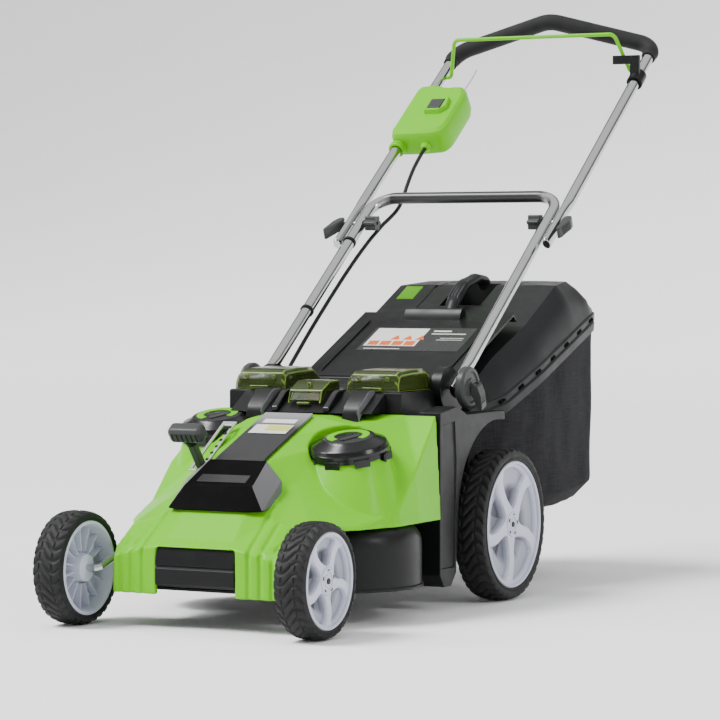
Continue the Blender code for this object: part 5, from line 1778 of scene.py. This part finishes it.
def build_bag_lid():
    """The hard lid with its recess, rim band and slots, the carry handle and the bag-full flap."""
    ys = [0.3574, *[0.3700 + 0.0150 * k for k in range(28)], 0.7850, 0.7920, 0.8000, 0.8060, 0.8120]
    outer = loft([lid_ring(y, 0, 0) for y in ys])
    inner = loft([lid_ring(y, 0.004, 0.02) for y in (0.3620, *ys[1:-2], 0.8075)])
    well = block((-0.040, 0.620, 0.4850), (0.040, 0.7270, 0.60))
    pocket = block((-0.0440, 0.616, 0.4810), (0.0440, 0.7310, 0.60))
    grooves = []
    for side in (-1, 1):
        grooves.append(
            pipe(
                [
                    (side * 0.082, 0.600, bag_top(0.600) + 0.0012),
                    (side * 0.080, 0.690, bag_top(0.690) + 0.0012),
                    (side * 0.072, 0.770, bag_top(0.770) + 0.0012),
                ],
                0.0024, 12,
            )
        )
    lid = carved(
        outer, carved(inner, pocket), well, block((-0.1407, 0.6505, 0.45), (-0.1053, 0.6955, 0.56)),
        *grooves,
    )
    make_piece("bag_lid_moulding", lid, "grass_bag", grey_moulding, ["bag_lid"], edge=0.0014)
    band, slots = [], []
    for side in (-1, 1):
        places = [0.3600 + 0.0150 * k for k in range(30)] + [0.8060]
        rings = []
        for y in places:
            row = bag_station(y)
            wide, rim = row[5] - (0.006 if y > 0.80 else 0), row[2]
            section = [
                (wide - 0.0015, rim - 0.0170), (wide + 0.0018, rim - 0.0160), (wide + 0.0028, rim - 0.0010),
                (wide + 0.0008, rim + 0.0030), (wide - 0.0015, rim + 0.0030),
            ]
            rings.append([(side * x, y, z) for x, z in section])
        band.append(loft(rings))
        # painted shade: thin near-black patches stand in for the shade inside the rim slots
        path = [
            (side * (bag_station(y)[5] + 0.0003), y, bag_station(y)[2] + 0.0072)
            for y in [0.430 + 0.010 * k for k in range(36)]
        ]
        slots.append(
            copies_along(
                path, block((-0.0085, -0.0009, -0.0030), (0.0085, 0.0009, 0.0030)), 7, hollow_black
            )
        )
    make_piece("bag_rim_band", band, "grass_bag", grey_moulding, edge=0.0006)
    make_piece("bag_rim_slots", slots, "grass_bag", hollow_black, edge=0)
    spine = bent(
        [
            (0, 0.572, 0.4500), (0, 0.600, 0.4900), (0, 0.640, 0.5215), (0, 0.690, 0.5345),
            (0, 0.728, 0.5310), (0, 0.738, 0.5100),
        ],
        0.012, 8,
    )
    carry = pipe(spine, 0.0105, 32, lambda k: (1.25, 0.85))
    make_piece("carry_handle", carry, "grass_bag", grey_moulding, edge=0.0010)
    ribs = []
    for dx in (-0.0105, -0.0045, 0.0015, 0.0075):
        line = [(dx, y, z + 0.0058 * math.sqrt(1 - (dx / 0.014) ** 2)) for y, z in
                ((0.592, 0.4800), (0.606, 0.4990), (0.622, 0.5110), (0.642, 0.5235), (0.664, 0.5300))]
        ribs.append(pipe(smooth_route(line, 6), 0.0016, 10))
    make_piece("carry_ribs", ribs, "grass_bag", rib_grey, edge=0.0005)
    outline = [(0.6512, 0.4941), (0.6948, 0.5159), (0.6948, 0.5199), (0.6512, 0.4981)]
    make_piece("full_flap", prism(outline, -0.1400, -0.1060), "bag_flap", green_moulding, ["bag_full_flap"],
               edge=0.0010)


def bag_top(y):
    """Height of the lid's top at this distance back."""
    return bag_station(y)[3]


# ---- stage ----
def studio_floor(flat=10.0, curve=2.0, top=4.5, sides=96, steps=12):
    """A round floor, flat out to one radius, that curves up into a low wall."""
    bends = [math.pi / 2 * k / steps for k in range(1, steps + 1)]
    profile = [(0.02, 0.0), (3.0, 0.0), (flat, 0.0)]
    profile += [(flat + curve * math.sin(t), curve - curve * math.cos(t)) for t in bends]
    profile.append((flat + curve, top))
    turns = [2 * math.pi * k / sides for k in range(sides)]
    bm = bmesh.new()
    rows = [[bm.verts.new((r * math.cos(t), r * math.sin(t), z)) for t in turns] for r, z in profile]
    bm.faces.new(rows[0])
    for near, far in zip(rows, rows[1:]):
        for k in range(sides):
            j = (k + 1) % sides
            bm.faces.new((near[k], far[k], far[j], near[j]))
    floor = as_object(bm, "floor")
    floor.data.shade_smooth()
    floor.data.materials.append(finish(floor_finish))
    return floor


def studio_world():
    """White light from above that dims towards the floor's rim, so that plated tubes show streaks."""
    world = bpy.data.worlds.new("studio")
    world.use_nodes = True
    nodes, link = world.node_tree.nodes, world.node_tree.links.new
    place = nodes.new("ShaderNodeTexCoord")
    parts = nodes.new("ShaderNodeSeparateXYZ")
    height = nodes.new("ShaderNodeMapRange")
    height.interpolation_type = "SMOOTHSTEP"
    for socket, value in (("From Min", 0.45), ("From Max", 0.80), ("To Min", 0.22), ("To Max", 1.15)):
        height.inputs[socket].default_value = value
    link(place.outputs["Generated"], parts.inputs[0])
    link(parts.outputs["Z"], height.inputs["Value"])
    link(height.outputs["Result"], nodes["Background"].inputs["Strength"])
    nodes["Background"].inputs["Color"].default_value = (1, 1, 1, 1)
    return world


def build_stage():
    """A round pale floor that curves up at its rim, soft lights and the camera."""
    made = [studio_floor()]
    sun = bpy.data.lights.new("sun", "SUN")
    sun.energy, sun.angle = 4.2, math.radians(22)
    high = bpy.data.objects.new("sun", sun)
    high.rotation_euler = (Vector((0.95, 0.85, -1.85))).to_track_quat("-Z", "Y").to_euler()
    bpy.context.scene.collection.objects.link(high)
    made.append(high)
    for name, place, size, power, aim in (
        ("left_light", (-2.6, -1.6, 2.2), 1.2, 60, (0, 0, 0.3)),
        ("side_light", (3.2, -0.4, 2.0), 0.9, 34, (0, 0, 0.3)),
    ):
        data = bpy.data.lights.new(name, "AREA")
        data.shape, data.size, data.energy = "SQUARE", size, power
        light = bpy.data.objects.new(name, data)
        light.location = in_frame(place)
        light.rotation_euler = (Vector(aim) - Vector(place)).to_track_quat("-Z", "Y").to_euler()
        bpy.context.scene.collection.objects.link(light)
        made.append(light)
    bpy.context.scene.world = studio_world()
    view = bpy.data.cameras.new("camera")
    view.lens, view.sensor_width = 149.48, 36
    view.clip_end = 100
    camera = bpy.data.objects.new("camera", view)
    camera.location = in_frame((2.3386, -4.2189, 0.5665))
    camera.rotation_euler = (math.pi / 2 - 0.0332, 0, 0.4829)
    bpy.context.scene.collection.objects.link(camera)
    bpy.context.scene.camera = camera


# ---- operators, panel and main ----


def build_wheels():
    """All four wheels."""
    for end in WHEELS:
        for tag in SIDES:
            build_wheel(end, tag)


def build_metalwork():
    """Finishes for the nodes that keep their shape."""
    repaint(["front_axle", "rear_axle", "door_hinge_rod"], zinc)
    repaint([f"{kind}_{tag}" for kind in ("motor", "blade", "blade_bolt") for tag in SIDES], dark_steel)


GROUPS = [
    ("wheels", "Build wheels", "Builds the tyres and rims", build_wheels),
    ("metalwork", "Finish metalwork", "Finishes axles, blades and motors", build_metalwork),
    ("deck", "Build deck", "Builds the deck", build_deck_pieces),
    ("cover", "Build cover", "Builds the green cover", build_cover),
    ("nose", "Build nose", "Builds the bumper and the middle panel", build_nose),
    ("caps", "Build caps", "Builds the motor caps", build_caps),
    ("housing", "Build housing", "Builds the battery housing", build_housing),
    ("lids", "Build lids", "Builds the see-through lids", build_lids),
    ("side_panels", "Build side panels", "Builds the rear side panels", build_side_panels),
    ("lever", "Build height lever", "Builds the height lever", build_lever),
    ("lower_handle", "Build lower handle", "Builds the lower handle", build_lower_handle),
    ("upper_handle", "Build upper handle", "Builds the upper handle", build_upper_handle),
    ("clamps", "Build clamps", "Builds the handle clamps", build_clamps),
    ("bail", "Build bail", "Builds the start bail", build_bail),
    ("switch_box", "Build switch box", "Builds the switch housing", build_switch_box),
    ("cables", "Build cables", "Builds the switch cable", build_cables),
    ("door", "Build door", "Builds the discharge door", build_door),
    ("bag", "Build grass bag", "Builds the grass bag", build_bag),
    ("stage", "Build stage", "Builds the floor, lights and camera", build_stage),
]


def operator_for(key, label, text, builder):
    """The operator class of one group."""

    def execute(self, context):
        builder()
        return {"FINISHED"}

    parts = {"bl_idname": f"mower.{key}", "bl_label": label, "__doc__": text, "execute": execute}
    return type(f"MOWER_OT_{key}", (bpy.types.Operator,), parts)


OPERATORS = [operator_for(*group) for group in GROUPS]


class MOWER_PT_pieces(bpy.types.Panel):
    """Lists the mower's operators."""

    bl_label = "Cordless mower"
    bl_space_type = "VIEW_3D"
    bl_region_type = "UI"
    bl_category = "Mower"

    def draw(self, context):
        for kind in (context.scene.mower_sizes, context.scene.mower_colours):
            for prop in kind.bl_rna.properties:
                if prop.identifier not in ("rna_type", "name"):
                    self.layout.prop(kind, prop.identifier)
        for made in OPERATORS:
            self.layout.operator(made.bl_idname)


CLASSES = [MowerSizes, MowerColours, *OPERATORS, MOWER_PT_pieces]


def register():
    for made in CLASSES:
        bpy.utils.register_class(made)
    bpy.types.Scene.mower_sizes = PointerProperty(type=MowerSizes)
    bpy.types.Scene.mower_colours = PointerProperty(type=MowerColours)


def unregister():
    del bpy.types.Scene.mower_sizes, bpy.types.Scene.mower_colours
    for made in reversed(CLASSES):
        bpy.utils.unregister_class(made)


def main():
    register()
    for key, *_ in GROUPS:
        getattr(bpy.ops.mower, key)()


if __name__ == "__main__":
    main()
